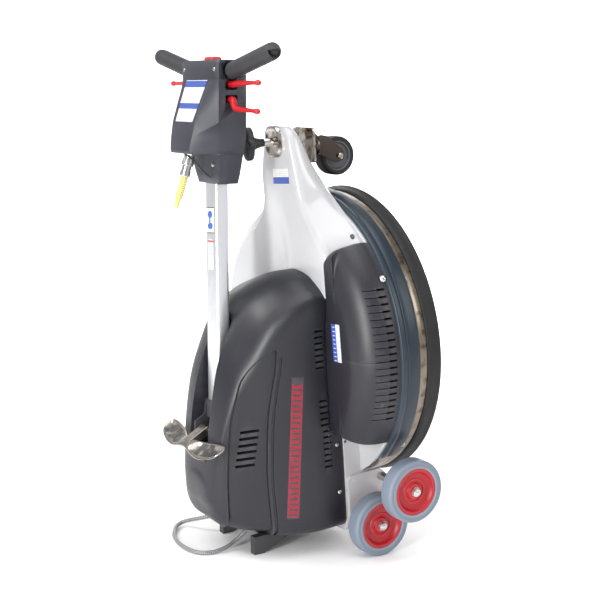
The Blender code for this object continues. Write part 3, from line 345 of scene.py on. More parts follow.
# ---------------------------------------------------------------- mesh building
def piece(name, bm, mat, body, place=None, angle=35, bevel=None, stands_for=(), recalc=True):
    """Adds a finished mesh, drawn in the given frame, as a piece that rides on a body."""
    if recalc:
        bmesh.ops.recalc_face_normals(bm, faces=bm.faces)
    mesh = bpy.data.meshes.new(name)
    bm.to_mesh(mesh)
    bm.free()
    if place is not None:
        mesh.transform(place)
    mesh.materials.append(mat)
    obj = bpy.data.objects.new(name, mesh)
    bpy.context.scene.collection.objects.link(obj)
    mesh.shade_smooth()
    mesh.set_sharp_from_angle(angle=radians(angle))
    if bevel:
        soften(obj, *bevel)
    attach(obj, body)
    if stands_for:
        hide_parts(*stands_for)
    return obj


def soften(obj, width, segments=3, angle=32):
    m = obj.modifiers.new("edges", "BEVEL")
    m.width = width
    m.segments = segments
    m.limit_method = "ANGLE"
    m.angle_limit = radians(angle)
    m.harden_normals = True
    settle(obj)


def settle(obj):
    """Applies the modifiers."""
    graph = bpy.context.evaluated_depsgraph_get()
    mesh = bpy.data.meshes.new_from_object(obj.evaluated_get(graph))
    obj.modifiers.clear()
    obj.data = mesh


def carve(obj, bm, place=None, operation="DIFFERENCE", inside=None):
    """Cuts a shape out of a piece, or joins it on. inside is the finish of the faces that the cut leaves."""
    bmesh.ops.recalc_face_normals(bm, faces=bm.faces)
    mesh = bpy.data.meshes.new("cutter")
    bm.to_mesh(mesh)
    bm.free()
    if place is not None:
        mesh.transform(place)
    if inside:
        mesh.materials.append(inside)
    helper = bpy.data.objects.new("cutter", mesh)
    bpy.context.scene.collection.objects.link(helper)
    m = obj.modifiers.new("carve", "BOOLEAN")
    m.operation = operation
    m.solver = "EXACT"
    m.material_mode = "TRANSFER" if inside else "INDEX"
    m.object = helper
    settle(obj)
    bpy.data.objects.remove(helper, do_unlink=True)
    obj.data.set_sharp_from_angle(angle=radians(35))


def loft(rings, caps=True):
    bm = bmesh.new()
    made = [[bm.verts.new(p) for p in ring] for ring in rings]
    count = len(made[0])
    for low, high in zip(made, made[1:]):
        for i in range(count):
            j = (i + 1) % count
            bm.faces.new((low[i], low[j], high[j], high[i]))
    if caps:
        bm.faces.new(made[0])
        bm.faces.new(made[-1])
    return bm


def refine(rows, k):
    """Puts k - 1 rows between each two, on a Catmull-Rom curve."""
    rows = [tuple(row) for row in rows]
    ends = [tuple(2 * a - b for a, b in zip(rows[0], rows[1]))] + rows
    ends.append(tuple(2 * a - b for a, b in zip(rows[-1], rows[-2])))
    out = []
    for i in range(1, len(ends) - 2):
        for step in range(k):
            t = step / k
            out.append(tuple(0.5 * (2 * p1 + (p2 - p0) * t + (2 * p0 - 5 * p1 + 4 * p2 - p3) * t ** 2
                                    + (3 * p1 - p0 - 3 * p2 + p3) * t ** 3)
                             for p0, p1, p2, p3 in zip(*ends[i - 1:i + 3])))
    out.append(rows[-1])
    return out


def spin(profile, axis, centre, steps=64, start=0.0, sweep=2 * pi, closed=True):
    """Turns a (radius, along) profile about an axis. A closed profile makes a ring, an open one gets flat ends."""
    whole = abs(sweep - 2 * pi) < 1e-9
    rings = []
    for k in range(steps if whole else steps + 1):
        a = start + sweep * k / steps
        place = {"x": lambda r, h: (centre[0] + h, centre[1] + r * sin(a), centre[2] + r * cos(a)),
                 "y": lambda r, h: (centre[0] + r * sin(a), centre[1] + h, centre[2] + r * cos(a)),
                 "z": lambda r, h: (centre[0] + r * sin(a), centre[1] + r * cos(a), centre[2] + h)}[axis]
        rings.append([place(r, h) for r, h in profile])
    bm = bmesh.new()
    made = [[bm.verts.new(p) for p in ring] for ring in rings]
    count, n = len(made), len(profile)
    for k in range(count if whole else count - 1):
        a, b = made[k], made[(k + 1) % count]
        for i in range(n if closed else n - 1):
            j = (i + 1) % n
            bm.faces.new((a[i], a[j], b[j], b[i]))
    if closed and not whole:
        bm.faces.new(made[0])
        bm.faces.new(made[-1])
    if not closed:
        bm.faces.new([ring[0] for ring in made])
        bm.faces.new([ring[-1] for ring in made])
    return bm


def arc(cx, cy, r, a0, a1, steps=5):
    return [(cx + r * cos(radians(a0 + (a1 - a0) * k / steps)), cy + r * sin(radians(a0 + (a1 - a0) * k / steps)))
            for k in range(steps + 1)]


def rounded(corners, radii, steps=5):
    out = []
    count = len(corners)
    for i, corner in enumerate(corners):
        p = Vector(corner)
        a = (Vector(corners[i - 1]) - p).normalized()
        b = (Vector(corners[(i + 1) % count]) - p).normalized()
        half = a.angle(b) / 2
        r = radii[i] if isinstance(radii, (list, tuple)) else radii
        middle = p + (a + b).normalized() * (r / sin(half))
        start = p + a * (r / tan(half)) - middle
        end = p + b * (r / tan(half)) - middle
        turn = start.angle_signed(end)
        for k in range(steps + 1):
            spoke = start.copy()
            spoke.rotate(Matrix.Rotation(-turn * k / steps, 2))
            out.append(tuple(middle + spoke))
    return out


def prism(outline, plane, low, high):
    place = {"xz": lambda p, h: (p[0], h, p[1]), "yz": lambda p, h: (h, p[0], p[1]),
             "xy": lambda p, h: (p[0], p[1], h)}[plane]
    return loft([[place(p, low) for p in outline], [place(p, high) for p in outline]])


def block(low, high, radius=0.0, plane="xz"):
    axes = {"xz": (0, 2, 1), "yz": (1, 2, 0), "xy": (0, 1, 2)}[plane]
    a0, a1 = low[axes[0]], high[axes[0]]
    b0, b1 = low[axes[1]], high[axes[1]]
    corners = [(a0, b0), (a1, b0), (a1, b1), (a0, b1)]
    outline = rounded(corners, radius) if radius else corners
    return prism(outline, plane, low[axes[2]], high[axes[2]])


def tube_along(points, radii, sides=24, uv=False, caps=True):
    """A round bar through the points. uv gives u round it and v in metres along it."""
    path = [Vector(p) for p in points]
    radii = radii if isinstance(radii, (list, tuple)) else [radii] * len(path)
    bm = bmesh.new()
    layer = bm.loops.layers.uv.new("UVMap") if uv else None
    side = None
    made = []
    run_length = [0.0]
    for i, p in enumerate(path):
        ahead = (path[min(i + 1, len(path) - 1)] - p).normalized()
        behind = (p - path[max(i - 1, 0)]).normalized()
        run = (ahead + behind).normalized()
        if i:
            run_length.append(run_length[-1] + (p - path[i - 1]).length)
        if side is None:
            side = run.cross(Vector((0, 1, 0))) if abs(run.y) < 0.9 else run.cross(Vector((1, 0, 0)))
        side = (side - run * side.dot(run)).normalized()
        other = run.cross(side)
        made.append([bm.verts.new(p + (side * cos(2 * pi * k / sides) + other * sin(2 * pi * k / sides)) * radii[i])
                     for k in range(sides)])
    for i in range(len(made) - 1):
        for k in range(sides):
            j = (k + 1) % sides
            face = bm.faces.new((made[i][k], made[i][j], made[i + 1][j], made[i + 1][k]))
            if uv:
                corners = ((k, i), (k + 1, i), (k + 1, i + 1), (k, i + 1))
                for loop, (a, b) in zip(face.loops, corners):
                    loop[layer].uv = (a / sides, run_length[b])
    if caps:
        bm.faces.new(made[0])
        bm.faces.new(made[-1])
    return bm


def smooth_route(points, count):
    path = [Vector(p) for p in refine(points, 24)]
    run = [0.0]
    for a, b in zip(path, path[1:]):
        run.append(run[-1] + (b - a).length)
    out = []
    k = 0
    for i in range(count):
        want = run[-1] * i / (count - 1)
        while k < len(run) - 2 and run[k + 1] < want:
            k += 1
        share = (want - run[k]) / max(run[k + 1] - run[k], 1e-9)
        out.append(path[k].lerp(path[k + 1], min(share, 1.0)))
    return out


def decal(name, target, corners, toward, mat, body, lift=0.0004, across=8, up=16, place=None):
    """A label pressed onto a piece: a grid between four corners, each point dropped along a direction."""
    graph = bpy.context.evaluated_depsgraph_get()
    tree = BVHTree.FromObject(target, graph)
    place = place or Matrix.Identity(4)
    a, b, c, d = [place @ Vector(p) for p in corners]
    toward = (place.to_3x3() @ Vector(toward)).normalized()
    bm = bmesh.new()
    layer = bm.loops.layers.uv.new("UVMap")
    grid = []
    for j in range(up + 1):
        row = []
        for i in range(across + 1):
            p = a.lerp(b, i / across).lerp(d.lerp(c, i / across), j / up)
            hit, normal, _, _ = tree.ray_cast(p - toward * 0.05, toward)
            if hit is None:
                hit, normal = p, -toward
            if normal.dot(toward) > 0:
                normal = -normal
            row.append(bm.verts.new(hit + normal * lift))
        grid.append(row)
    for j in range(up):
        for i in range(across):
            face = bm.faces.new((grid[j][i], grid[j][i + 1], grid[j + 1][i + 1], grid[j + 1][i]))
            for loop, (x, y) in zip(face.loops, ((i, j), (i + 1, j), (i + 1, j + 1), (i, j + 1))):
                loop[layer].uv = (x / across, y / up)
    return piece(name, bm, mat, body, recalc=False)


def merge(*meshes):
    """One bmesh with all the given ones in it."""
    out = bmesh.new()
    for bm in meshes:
        mesh = bpy.data.meshes.new("part")
        bm.to_mesh(mesh)
        bm.free()
        out.from_mesh(mesh)
        bpy.data.meshes.remove(mesh)
    return out


# ---------------------------------------------------------------- finishes
FINISH = {
    "white": surface("white_gelcoat", (0.475, 0.475, 0.49), 0.24, mottle=0.03, grain=260, bump=0.10, coat=0.5),
    "cover": surface("charcoal_moulding", (0.0125, 0.0125, 0.0175), 0.40, mottle=0.10, grain=1500, bump=0.35,
                     depth=0.00025, edge=(0.040, 0.040, 0.050)),
    "head": surface("charcoal_head", (0.021, 0.022, 0.032), 0.42, mottle=0.10, grain=1700, bump=0.35,
                    depth=0.00025,
                    edge=(0.06, 0.06, 0.075)),
    "black": surface("black_plastic", (0.014, 0.014, 0.016), 0.45, mottle=0.2, grain=900, bump=0.3,
                     edge=(0.04, 0.04, 0.045)),
    "hole": surface("vent_shadow", (0.004, 0.004, 0.004), 0.9, mottle=0.3, bump=0.1),
    "grip": surface("grip_rubber", (0.022, 0.022, 0.026), 0.62, mottle=0.15, grain=1100, bump=0.6,
                    depth=0.0003),
    "rubber": surface("black_rubber", (0.004, 0.004, 0.005), 0.6, mottle=0.25, grain=500, bump=0.3,
                      depth=0.0004),
    "bumper": surface("blue_black_rubber", (0.009, 0.018, 0.030), 0.36, mottle=0.15, grain=400, bump=0.25,
                      depth=0.0003, edge=(0.07, 0.09, 0.12)),
    "band": surface("bronzed_steel", (0.24, 0.20, 0.16), 0.30, 0.9, mottle=0.25, grain=120, bump=0.2,
                    dirt=(0.10, 0.08, 0.06)),
    "aluminium": surface("brushed_aluminium", (0.80, 0.81, 0.84), 0.30, 0.9, mottle=0.03, grain=320, bump=0.10,
                         stretch=(3.0, 3.0, 0.05)),
    "steel": surface("zinc_steel", (0.60, 0.59, 0.57), 0.28, 1.0, mottle=0.10, grain=500, bump=0.12),
    "chrome": surface("worn_chrome", (0.62, 0.58, 0.54), 0.20, 1.0, mottle=0.18, grain=90, bump=0.25,
                      depth=0.0006,
                      dirt=(0.20, 0.16, 0.13)),
    "dark_chrome": surface("smoked_chrome", (0.10, 0.08, 0.07), 0.26, 1.0, mottle=0.3, grain=120, bump=0.2),
    "cast": surface("polished_casting", (0.42, 0.385, 0.35), 0.27, 1.0, mottle=0.12, grain=160, bump=0.3,
                    depth=0.0005, dirt=(0.33, 0.30, 0.27)),
    "cast_pit": surface("sooty_casting", (0.10, 0.095, 0.09), 0.5, 0.7, mottle=0.5, grain=260, bump=0.9,
                        depth=0.001,
                        dirt=(0.35, 0.33, 0.31)),
    "nickel": surface("nickel", (0.58, 0.58, 0.58), 0.26, 1.0, mottle=0.1, grain=500, bump=0.1),
    "tyre": surface("grey_tyre", (0.17, 0.205, 0.26), 0.55, mottle=0.08, grain=600, bump=0.25,
                    edge=(0.30, 0.33, 0.38)),
    "red_hub": surface("red_hub", (0.36, 0.001, 0.008), 0.40, mottle=0.10, edge=(0.50, 0.03, 0.04)),
    "red": surface("red_lever", (0.42, 0.004, 0.011), 0.34, mottle=0.10, grain=800, bump=0.15,
                   edge=(0.55, 0.04, 0.04)),
    "motor": surface("motor_grey", (0.10, 0.10, 0.11), 0.5, 0.5, mottle=0.2),
    "pad": surface("pad_fibre", (0.50, 0.22, 0.20), 0.95, mottle=0.3, grain=500, bump=1.0, depth=0.002,
                   dirt=(0.75, 0.55, 0.5)),
    "paper": surface("filter_paper", (0.72, 0.69, 0.60), 0.9, mottle=0.1, grain=500, bump=0.5),
}
LABELS = {
    "head": sticker("panel_label", (0.60, 0.58, 0.57),
                    [(0.83, 0.985, (0.03, 0.07, 0.30)), (0.31, 0.45, (0.03, 0.07, 0.30)),
                     (0.45, 0.49, (0.90, 0.90, 0.92))], lines=(15, (0.45, 0.42, 0.42), 0.02, 0.80)),
    "tube": dot_sticker("tube_label", (0.66, 0.68, 0.74), (0.04, 0.11, 0.36)),
    "nose": sticker("nose_label", (0.70, 0.68, 0.66), [(0.02, 0.46, (0.04, 0.08, 0.33))],
                    lines=(9, (0.48, 0.46, 0.45), 0.5, 0.95)),
    "side": split_sticker("cover_label", (0.035, 0.075, 0.34), (0.58, 0.60, 0.66)),
    "note": sticker("tube_note", (0.62, 0.63, 0.66), [(0.90, 0.97, (0.45, 0.08, 0.08))],
                    lines=(8, (0.34, 0.34, 0.36), 0.05, 0.86)),
    "stripe": ladder_stripe("red_stripe", (0.30, 0.012, 0.028), (0.05, 0.045, 0.055)),
}


def finish_cad(**finishes):
    for name, key in finishes.items():
        node = NODES[name]
        node.data.materials.clear()
        node.data.materials.append(FINISH[key])


finish_cad(
    spindle="steel", vacuum_fan="aluminium", pad_driver="black", pad="pad", spindle_bearing="steel",
    motor_body="motor", filter="paper", foot_left="black", foot_right="black", wheel_bracket_left="white",
    wheel_bracket_right="white",
    handle_bracket="black", pivot_pin="steel", pedal_pin="chrome", lift_plate="steel", caster_bracket="chrome",
    caster_arm="chrome", caster_fork="dark_chrome", lift_rod="steel", upper_axle_left="steel",
    upper_axle_right="steel", lower_axle_left="steel", lower_axle_right="steel", handlebar="steel",
    switch_block="black", tube_shoe="black")


# ---------------------------------------------------------------- deck
DECK_TOP = -0.157
NOSE = (
    (DECK_TOP, ((0.028, 0.420), (0.045, 0.404), (0.056, 0.370), (0.067, 0.328), (0.082, 0.280), (0.110, 0.244),
                (0.138, 0.213), (0.158, 0.172), (0.157, 0.125), (0.148, 0.085), (0.1390, 0.030))),
    (-0.134, ((0.030, 0.414), (0.047, 0.400), (0.058, 0.368), (0.070, 0.328), (0.085, 0.283), (0.113, 0.248),
              (0.142, 0.217), (0.163, 0.178), (0.164, 0.125), (0.152, 0.085), (0.1395, 0.030))),
    (-0.110, ((0.030, 0.365), (0.047, 0.352), (0.060, 0.335), (0.075, 0.310), (0.093, 0.282), (0.124, 0.250),
              (0.155, 0.220), (0.178, 0.180), (0.180, 0.125), (0.160, 0.085), (0.1395, 0.030))),
    (-0.097, ((0.030, 0.335), (0.046, 0.328), (0.060, 0.318), (0.078, 0.298), (0.102, 0.272), (0.138, 0.244),
              (0.170, 0.212), (0.195, 0.176), (0.195, 0.125), (0.165, 0.085), (0.1395, 0.030))),
    (-0.087, ((0.030, 0.312), (0.046, 0.308), (0.062, 0.300), (0.084, 0.284), (0.118, 0.260), (0.155, 0.232),
              (0.188, 0.200), (0.212, 0.165), (0.205, 0.125), (0.170, 0.085), (0.1395, 0.030))),
)
LEFT_RADII = (0.247, 0.268, 0.278, 0.2825, 0.2833)
LEFT_NOSE = ((0.067, 0.270), (0.078, 0.268), (0.090, 0.268), (0.102, 0.266), (0.112, 0.262))


def nose_outline(half, radius, nose, inset):
    left = [(x, rise) for x, rise in half[:4]] + [nose]
    first = atan2(nose[1] - 0.035, nose[0] + 0.035)
    last = -acos(0.1445 / radius)
    for k in range(15):
        a = first * (1 - k / 14) + last * k / 14
        left.append((radius * cos(a), radius * sin(a)))
    sides = []
    for line in (half, left):
        line = refine(line, 4)
        moved = []
        for i, (x, rise) in enumerate(line):
            before, after = line[max(i - 1, 0)], line[min(i + 1, len(line) - 1)]
            run = Vector((after[0] - before[0], after[1] - before[1])).normalized()
            moved.append((x + run.y * inset, rise - run.x * inset))
        sides.append(moved)
    sides[0].append((sides[0][-1][0], -0.205))
    sides[1].append((0.100, sides[1][-1][1] - 0.002))
    tip = [(-x, rise) for x, rise in reversed(sides[1])]
    across = [(tip[-1][0] * (1 - k / 5) + sides[0][0][0] * k / 5, sides[0][0][1]) for k in range(1, 5)]
    return sides[0] + tip + across


def face_depth(x, rise):
    """The nose's front face: flat at the tip, with a shallow valley that deepens towards the motor cover."""
    down = min(max((0.330 - rise) / 0.16, 0.0), 1.0)
    down = down * down * (3 - 2 * down)
    valley = 0.016 * pow(2.718, -((x + 0.030) / 0.040) ** 2)
    wing = 0.004 * min(max((-x - 0.06) / 0.08, 0.0), 1.0)
    return (valley - wing) * down


def make_deck():
    flange = spin([(0.270, -0.084), (0.2805, -0.084)] + arc(0.2810, -0.0865, 0.0025, 90, 0, 3)
                  + arc(0.2810, -0.0895, 0.0025, 0, -90, 3) + [(0.05, -0.092)], "y", (0, 0, 0), 144,
                  closed=False)
    piece("deck", flange, FINISH["white"], "chassis", CHASSIS, stands_for=("deck_shell",))
    rows = []
    for (depth, half), radius, nose in zip(NOSE, LEFT_RADII, LEFT_NOSE):
        rows.append((depth, radius, *nose, *[v for p in half for v in p]))
    rows = refine(rows, 5)

    def ring(row, inset=0.0, depth=None):
        half = list(zip(row[4::2], row[5::2]))
        depth = row[0] if depth is None else depth
        return [(x, depth, rise) for x, rise in nose_outline(half, row[1], (row[2], row[3]), inset)]
    rings = [ring(row) for row in reversed(rows[2:])]
    top = rows[0]
    edge = 0.011
    for k in range(1, 7):
        a = radians(90 * k / 6)
        rings.append(ring(top, edge * (1 - cos(a)), -0.1475 - 0.0095 * sin(a)))
    last = rings[-1]
    for f in (0.94, 0.86, 0.76, 0.64, 0.50, 0.36, 0.22, 0.10):
        ease = min((1 - f) / 0.25, 1.0)
        flat = []
        for x, depth, rise in last:
            px, pr = x * f, 0.15 + (rise - 0.15) * f
            flat.append((px, DECK_TOP + face_depth(px, pr) * ease, pr))
        rings.append(flat)
    nose = piece("nose", loft(rings), FINISH["white"], "chassis", CHASSIS, angle=50)
    rear = rounded([(-0.140, -0.365), (0.140, -0.365), (0.140, 0.02), (-0.140, 0.02)],
                   [0.02, 0.02, 0.004, 0.004])
    piece("rear_box", prism(rear, "xz", -0.130, -0.064), FINISH["white"], "chassis", CHASSIS, bevel=(0.003, 3))
    return nose


def make_rim():
    band = [(0.2785, -0.026), (0.2785, -0.0837), (0.2835, -0.0837), (0.2835, -0.047), (0.2828, -0.0455),
            (0.2835, -0.044), (0.2835, -0.0285), (0.2822, -0.026)]
    piece("rim_band", spin(band, "y", (0, 0, 0), 160), FINISH["band"], "chassis", CHASSIS, angle=30,
          stands_for=("housing_rim",))
    inner = 0.2838
    profile = ([(inner, -0.0455), (inner, -0.0865)] + arc(0.2870, -0.0835, 0.0030, -90, -10, 4)
               + [(0.2904, -0.079), (0.2900, -0.0745)] + arc(0.2893, -0.0725, 0.0010, 90, -90, 3)[::-1]
               + [(0.2904, -0.069), (0.2905, -0.060), (0.2903, -0.052)] + arc(0.2872, -0.0487, 0.0030, 10, 90,
                                                                              4))
    bare = radians(45)
    bumper = spin(profile, "y", (0, 0, 0), 150, start=-(pi - bare), sweep=2 * (pi - bare))
    piece("bumper_strip", bumper, FINISH["bumper"], "chassis", CHASSIS, angle=40, stands_for=("bumper",))
    skirt = [(0.2765, 0.0), (0.2765, -0.0257), (0.2835, -0.0257), (0.2848, -0.0245), (0.2852, -0.0215),
             (0.2866, -0.0190), (0.2862, -0.0165), (0.2878, -0.0110), (0.2874, -0.0085), (0.2896, -0.0040),
             (0.2900, -0.0015), (0.2893, 0.0)]
    piece("skirt_lip", spin(skirt, "y", (0, 0, 0), 160), FINISH["rubber"], "chassis", CHASSIS, angle=50,
          stands_for=("dust_skirt",))


# ---------------------------------------------------------------- motor cover
COVER_TOP = ((0.1405, 0.030), (0.149, 0.085), (0.148, 0.106), (0.136, 0.119), (0.120, 0.129), (0.106, 0.137),
             (0.092, 0.143), (0.061, 0.149), (0.022, 0.147), (-0.034, 0.130), (-0.076, 0.116), (-0.110, 0.104),
             (-0.136, 0.090), (-0.147, 0.065), (-0.1405, 0.020))
COVER_RINGS = (
    # depth, crest rise, lower edge's rise, half width, share of the base's own top outline, lower corner radius
    (-0.1303, 0.149, -0.352, 0.1405, 1.00, 0.020), (-0.1650, 0.149, -0.352, 0.1405, 1.00, 0.020),
    (-0.1850, 0.149, -0.352, 0.1400, 0.96, 0.020), (-0.2100, 0.143, -0.351, 0.1380, 0.80, 0.022),
    (-0.2400, 0.126, -0.348, 0.1330, 0.55, 0.024), (-0.2700, 0.100, -0.345, 0.1230, 0.30, 0.026),
    (-0.3050, 0.044, -0.340, 0.1060, 0.00, 0.028), (-0.3330, -0.014, -0.333, 0.0920, 0.00, 0.030),
    (-0.3550, -0.093, -0.321, 0.0780, 0.00, 0.030), (-0.3700, -0.180, -0.302, 0.0640, 0.00, 0.028),
    (-0.3770, -0.215, -0.278, 0.0500, 0.00, 0.018),
)
CHANNEL = ((0.190, 0.0375, -0.150), (0.300, 0.0375, -0.150), (0.370, 0.0330, -0.160), (0.450, 0.0300, -0.172),
           (0.620, 0.0300, -0.172))


def lean(x, y, z):
    """A point of the upright frame, in the tilted one."""
    dy, dz = y - DISC_Y, z - DISC_Z
    return (x, dy * cos(LEAN) + dz * sin(LEAN), -dy * sin(LEAN) + dz * cos(LEAN))


def upright_block(low, high):
    rings = []
    for z in (low[2], high[2]):
        rings.append([lean(x, y, z) for x, y in
                      ((low[0], low[1]), (high[0], low[1]), (high[0], high[1]), (low[0], high[1]))])
    return loft(rings)


def hood_rings(inset=0.0):
    rings = []
    for depth, crest, low, half, share, corner in refine(COVER_RINGS, 6):
        outline = []
        depth, crest, low, half = depth + inset, crest - inset, low + inset, half - inset
        share = min(max(share, 0.0), 1.0)
        top = refine(COVER_TOP, 5)
        for k in range(9):
            a = -pi / 2 + pi / 2 * k / 8
            outline.append((half - corner + corner * cos(a), low + corner + corner * sin(a)))
        base = outline[8][1]
        goal = (top[0][1] + crest - 0.149) * share + (crest - 0.75 * half) * (1 - share)
        outline += [(half, base + (goal - base) * k / 12) for k in range(1, 12)]
        for k, (tx, tr) in enumerate(top):
            a = pi * k / (len(top) - 1)
            dome = (half * cos(a), crest - 0.75 * half * (1 - sin(a) ** 0.9))
            own = (tx * half / 0.1405, tr + crest - 0.149)
            outline.append((own[0] * share + dome[0] * (1 - share), own[1] * share + dome[1] * (1 - share)))
        left = outline[-1][1]
        outline += [(-half, left + (low + corner - left) * k / 12) for k in range(1, 12)]
        for k in range(9):
            a = pi + pi / 2 * k / 8
            outline.append((-half + corner + corner * cos(a), low + corner + corner * sin(a)))
        outline += [(-half + corner + 2 * (half - corner) * k / 10, low) for k in range(1, 10)]
        rings.append([(px, depth, pz) for px, pz in outline])
    last = rings[-1]
    mid = -0.245
    for f, push in ((0.86, 0.0022), (0.66, 0.0034), (0.40, 0.0040), (0.15, 0.0042)):
        rings.append([(x * f, -0.377 + inset - push, mid + (r - mid) * f) for x, _, r in last])
    return rings


# lines down the cover's side, as (rise, depth): the edge of the recessed panel, and the rib beside it
PANEL_EDGE = ((0.0270, -0.2540), (0.0123, -0.2800), (-0.0055, -0.2980), (-0.0236, -0.3120), (-0.0453, -0.3230),
              (-0.1032, -0.3390), (-0.1600, -0.3460), (-0.2400, -0.3520), (-0.3420, -0.3540))
RIB_LINE = ((0.0270, -0.2530), (-0.0070, -0.2550), (-0.0520, -0.2640), (-0.1089, -0.2740), (-0.2061, -0.2815),
            (-0.2800, -0.2810), (-0.3420, -0.2790))


def skin_cutter(outline, low_x, high_x, depth):
    """A cutter that takes a layer of even depth off the motor cover, inside an outline seen from the side."""
    bm = prism([(d, r) for r, d in outline], "yz", low_x, high_x)
    mesh = bpy.data.meshes.new("layer")
    bmesh.ops.recalc_face_normals(bm, faces=bm.faces)
    bm.to_mesh(mesh)
    bm.free()
    layer = bpy.data.objects.new("layer", mesh)
    bpy.context.scene.collection.objects.link(layer)
    carve(layer, loft(hood_rings(depth)))
    out = bmesh.new()
    out.from_mesh(layer.data)
    bpy.data.objects.remove(layer, do_unlink=True)
    return out


def shifted(line, move):
    return [(rise, depth + move) for rise, depth in line]


def make_motor_cover():
    cover = piece("motor_hood", loft(hood_rings()), FINISH["cover"], "chassis", CHASSIS, angle=60,
                  stands_for=("motor_cover",))
    channel = []
    for z, half, back in refine(CHANNEL, 4):
        corners = rounded([(-half, -0.40), (half, -0.40), (half, back), (-half, back)],
                          [0.001, 0.001, 0.009, 0.009])
        channel.append([lean(x, y, z) for x, y in corners])
    carve(cover, loft(channel), CHASSIS)
    carve(cover, upright_block((-0.0362, -0.20, 0.205), (0.0362, 0.02, 0.302)), CHASSIS)
    for side in (-1, 1):
        low, high = sorted((side * 0.045, side * 0.20))
        edge, rib = refine(PANEL_EDGE, 5), refine(RIB_LINE, 5)
        panel = edge[1:] + list(reversed(shifted(rib, -0.0015)))[:-1]
        carve(cover, skin_cutter(panel, low, high, 0.0042), CHASSIS)
        groove = shifted(rib, 0.0030)[3:] + list(reversed(shifted(rib, 0.0085)))[:-3]
        carve(cover, skin_cutter(groove, low, high, 0.0020), CHASSIS)
        for k in range(6):
            t = k / 5
            slot = rounded([(-0.3225 - 0.012 * t, -0.1345 - 0.066 * t),
                            (-0.2900 - 0.011 * t, -0.1322 - 0.066 * t),
                            (-0.2900 - 0.011 * t, -0.1268 - 0.066 * t),
                            (-0.3225 - 0.012 * t, -0.1290 - 0.066 * t)],
                           0.0016, 3)
            carve(cover, prism(slot, "yz", *sorted((side * 0.075, side * 0.20))), CHASSIS,
                  inside=FINISH["hole"])
        for first, count, d0, d1 in ((0.0460, 7, -0.1800, -0.1600), (-0.0900, 5, -0.1760, -0.1580),
                                     (-0.1500, 7, -0.1720, -0.1550)):
            for k in range(count):
                rise = first - 0.0118 * k
                slot = rounded([(d0, rise - 0.0021), (d1, rise - 0.0021), (d1, rise + 0.0021),
                                (d0, rise + 0.0021)],
                               0.0012, 3)
                carve(cover, prism(slot, "yz", *sorted((side * 0.132, side * 0.17))), CHASSIS,
                      inside=FINISH["hole"])
    decal("red_stripe", cover, ((0.1285, -0.2560, -0.3080), (0.1352, -0.2320, -0.3110),
                                (0.1387, -0.2060, -0.0365),
                                (0.1349, -0.2300, -0.0330)), (-1, 0.25, 0), LABELS["stripe"], "chassis",
          up=60, place=CHASSIS)


# ---------------------------------------------------------------- filter cover
SIDE_INNER = ((0.1425, -0.155), (0.1425, 0.030), (0.1510, 0.088), (0.1500, 0.170))
SIDE_RINGS = (
    # depth, move of the inner edge, outer radius about the spindle, lower and upper rise
    (-0.0870, 0.0000, 0.2846, -0.166, 0.208), (-0.0930, 0.0000, 0.2836, -0.166, 0.208),
    (-0.1040, 0.0000, 0.2828, -0.166, 0.208), (-0.1180, 0.0000, 0.2800, -0.165, 0.206),
    (-0.1320, 0.0000, 0.2735, -0.164, 0.203), (-0.1440, 0.0000, 0.2620, -0.161, 0.199),
    (-0.1530, 0.0010, 0.2470, -0.157, 0.193), (-0.1585, 0.0035, 0.2300, -0.152, 0.185),
    (-0.1600, 0.0070, 0.2150, -0.146, 0.176),
)


def side_outline(move, radius, low, high):
    outline = [(x + move, max(rise, low + 0.012)) for x, rise in refine(SIDE_INNER, 6)]
    x_low, x_top = outline[0][0], outline[-1][0]
    outline[-1] = (x_top, min(outline[-1][1], high - 0.014))
    a0 = atan2(high, sqrt(max(radius * radius - high * high, 1e-6)))
    a1 = atan2(low, sqrt(max(radius * radius - low * low, 1e-6)))
    outer = []
    for k in range(41):
        a = a0 + (a1 - a0) * k / 40
        x = radius * cos(a)
        floor = x_low + 0.036
        soft = floor + 0.5 * ((x - floor) + sqrt((x - floor) ** 2 + 0.00006))
        outer.append((soft, radius * sin(a)))
    run = outer[0][0] - x_top
    base = outline[-1][1]
    for k in range(1, 9):
        a = radians(90 * k / 9)
        outline.append((x_top + run * (1 - cos(a)), base + (high - base) * sin(a)))
    return outline + outer + [(x_low + 0.028, low), (x_low + 0.016, low), (x_low + 0.005, low + 0.004)]


def make_filter_cover():
    rings = []
    rows = refine(SIDE_RINGS, 5)
    for depth, move, r, low, high in rows:
        rings.append([(x, depth, rise) for x, rise in side_outline(move, r, low, high)])
    last = rings[-1]
    cx = sum(x for x, _, _ in last) / len(last)
    cr = sum(r for _, _, r in last) / len(last)
    for f, push in ((0.86, 0.0004), (0.6, 0.0007), (0.3, 0.0008)):
        rings.append([(cx + (x - cx) * f, -0.160 - push, cr + (r - cr) * f) for x, _, r in last])
    hood = piece("filter_hood", loft(rings), FINISH["cover"], "chassis", CHASSIS, angle=60,
                 stands_for=("filter_cover",))
    for k in range(20):
        rise = 0.1300 - 0.0126 * k
        if 0.006 < rise < 0.016:
            continue
        outer = sqrt(0.2820 ** 2 - rise ** 2)
        carve(hood, block((outer - 0.016, -0.1090, rise - 0.0020), (0.30, -0.0935, rise + 0.0020)), CHASSIS,
              inside=FINISH["hole"])
        inner = sqrt(0.2735 ** 2 - rise ** 2) - 0.0012
        carve(hood, block((inner, -0.1330, rise - 0.0008), (0.30, -0.1080, rise + 0.0008)), CHASSIS)
    carve(hood, block((0.205, -0.170, 0.0028), (0.30, -0.1000, 0.0034)), CHASSIS)
    decal("cover_label", hood, ((0.1750, -0.170, -0.0070), (0.2030, -0.170, -0.0050), (0.2000, -0.170, 0.0660),
                                (0.1720, -0.170, 0.0640)), (0, 1, 0), LABELS["side"], "chassis", place=CHASSIS)


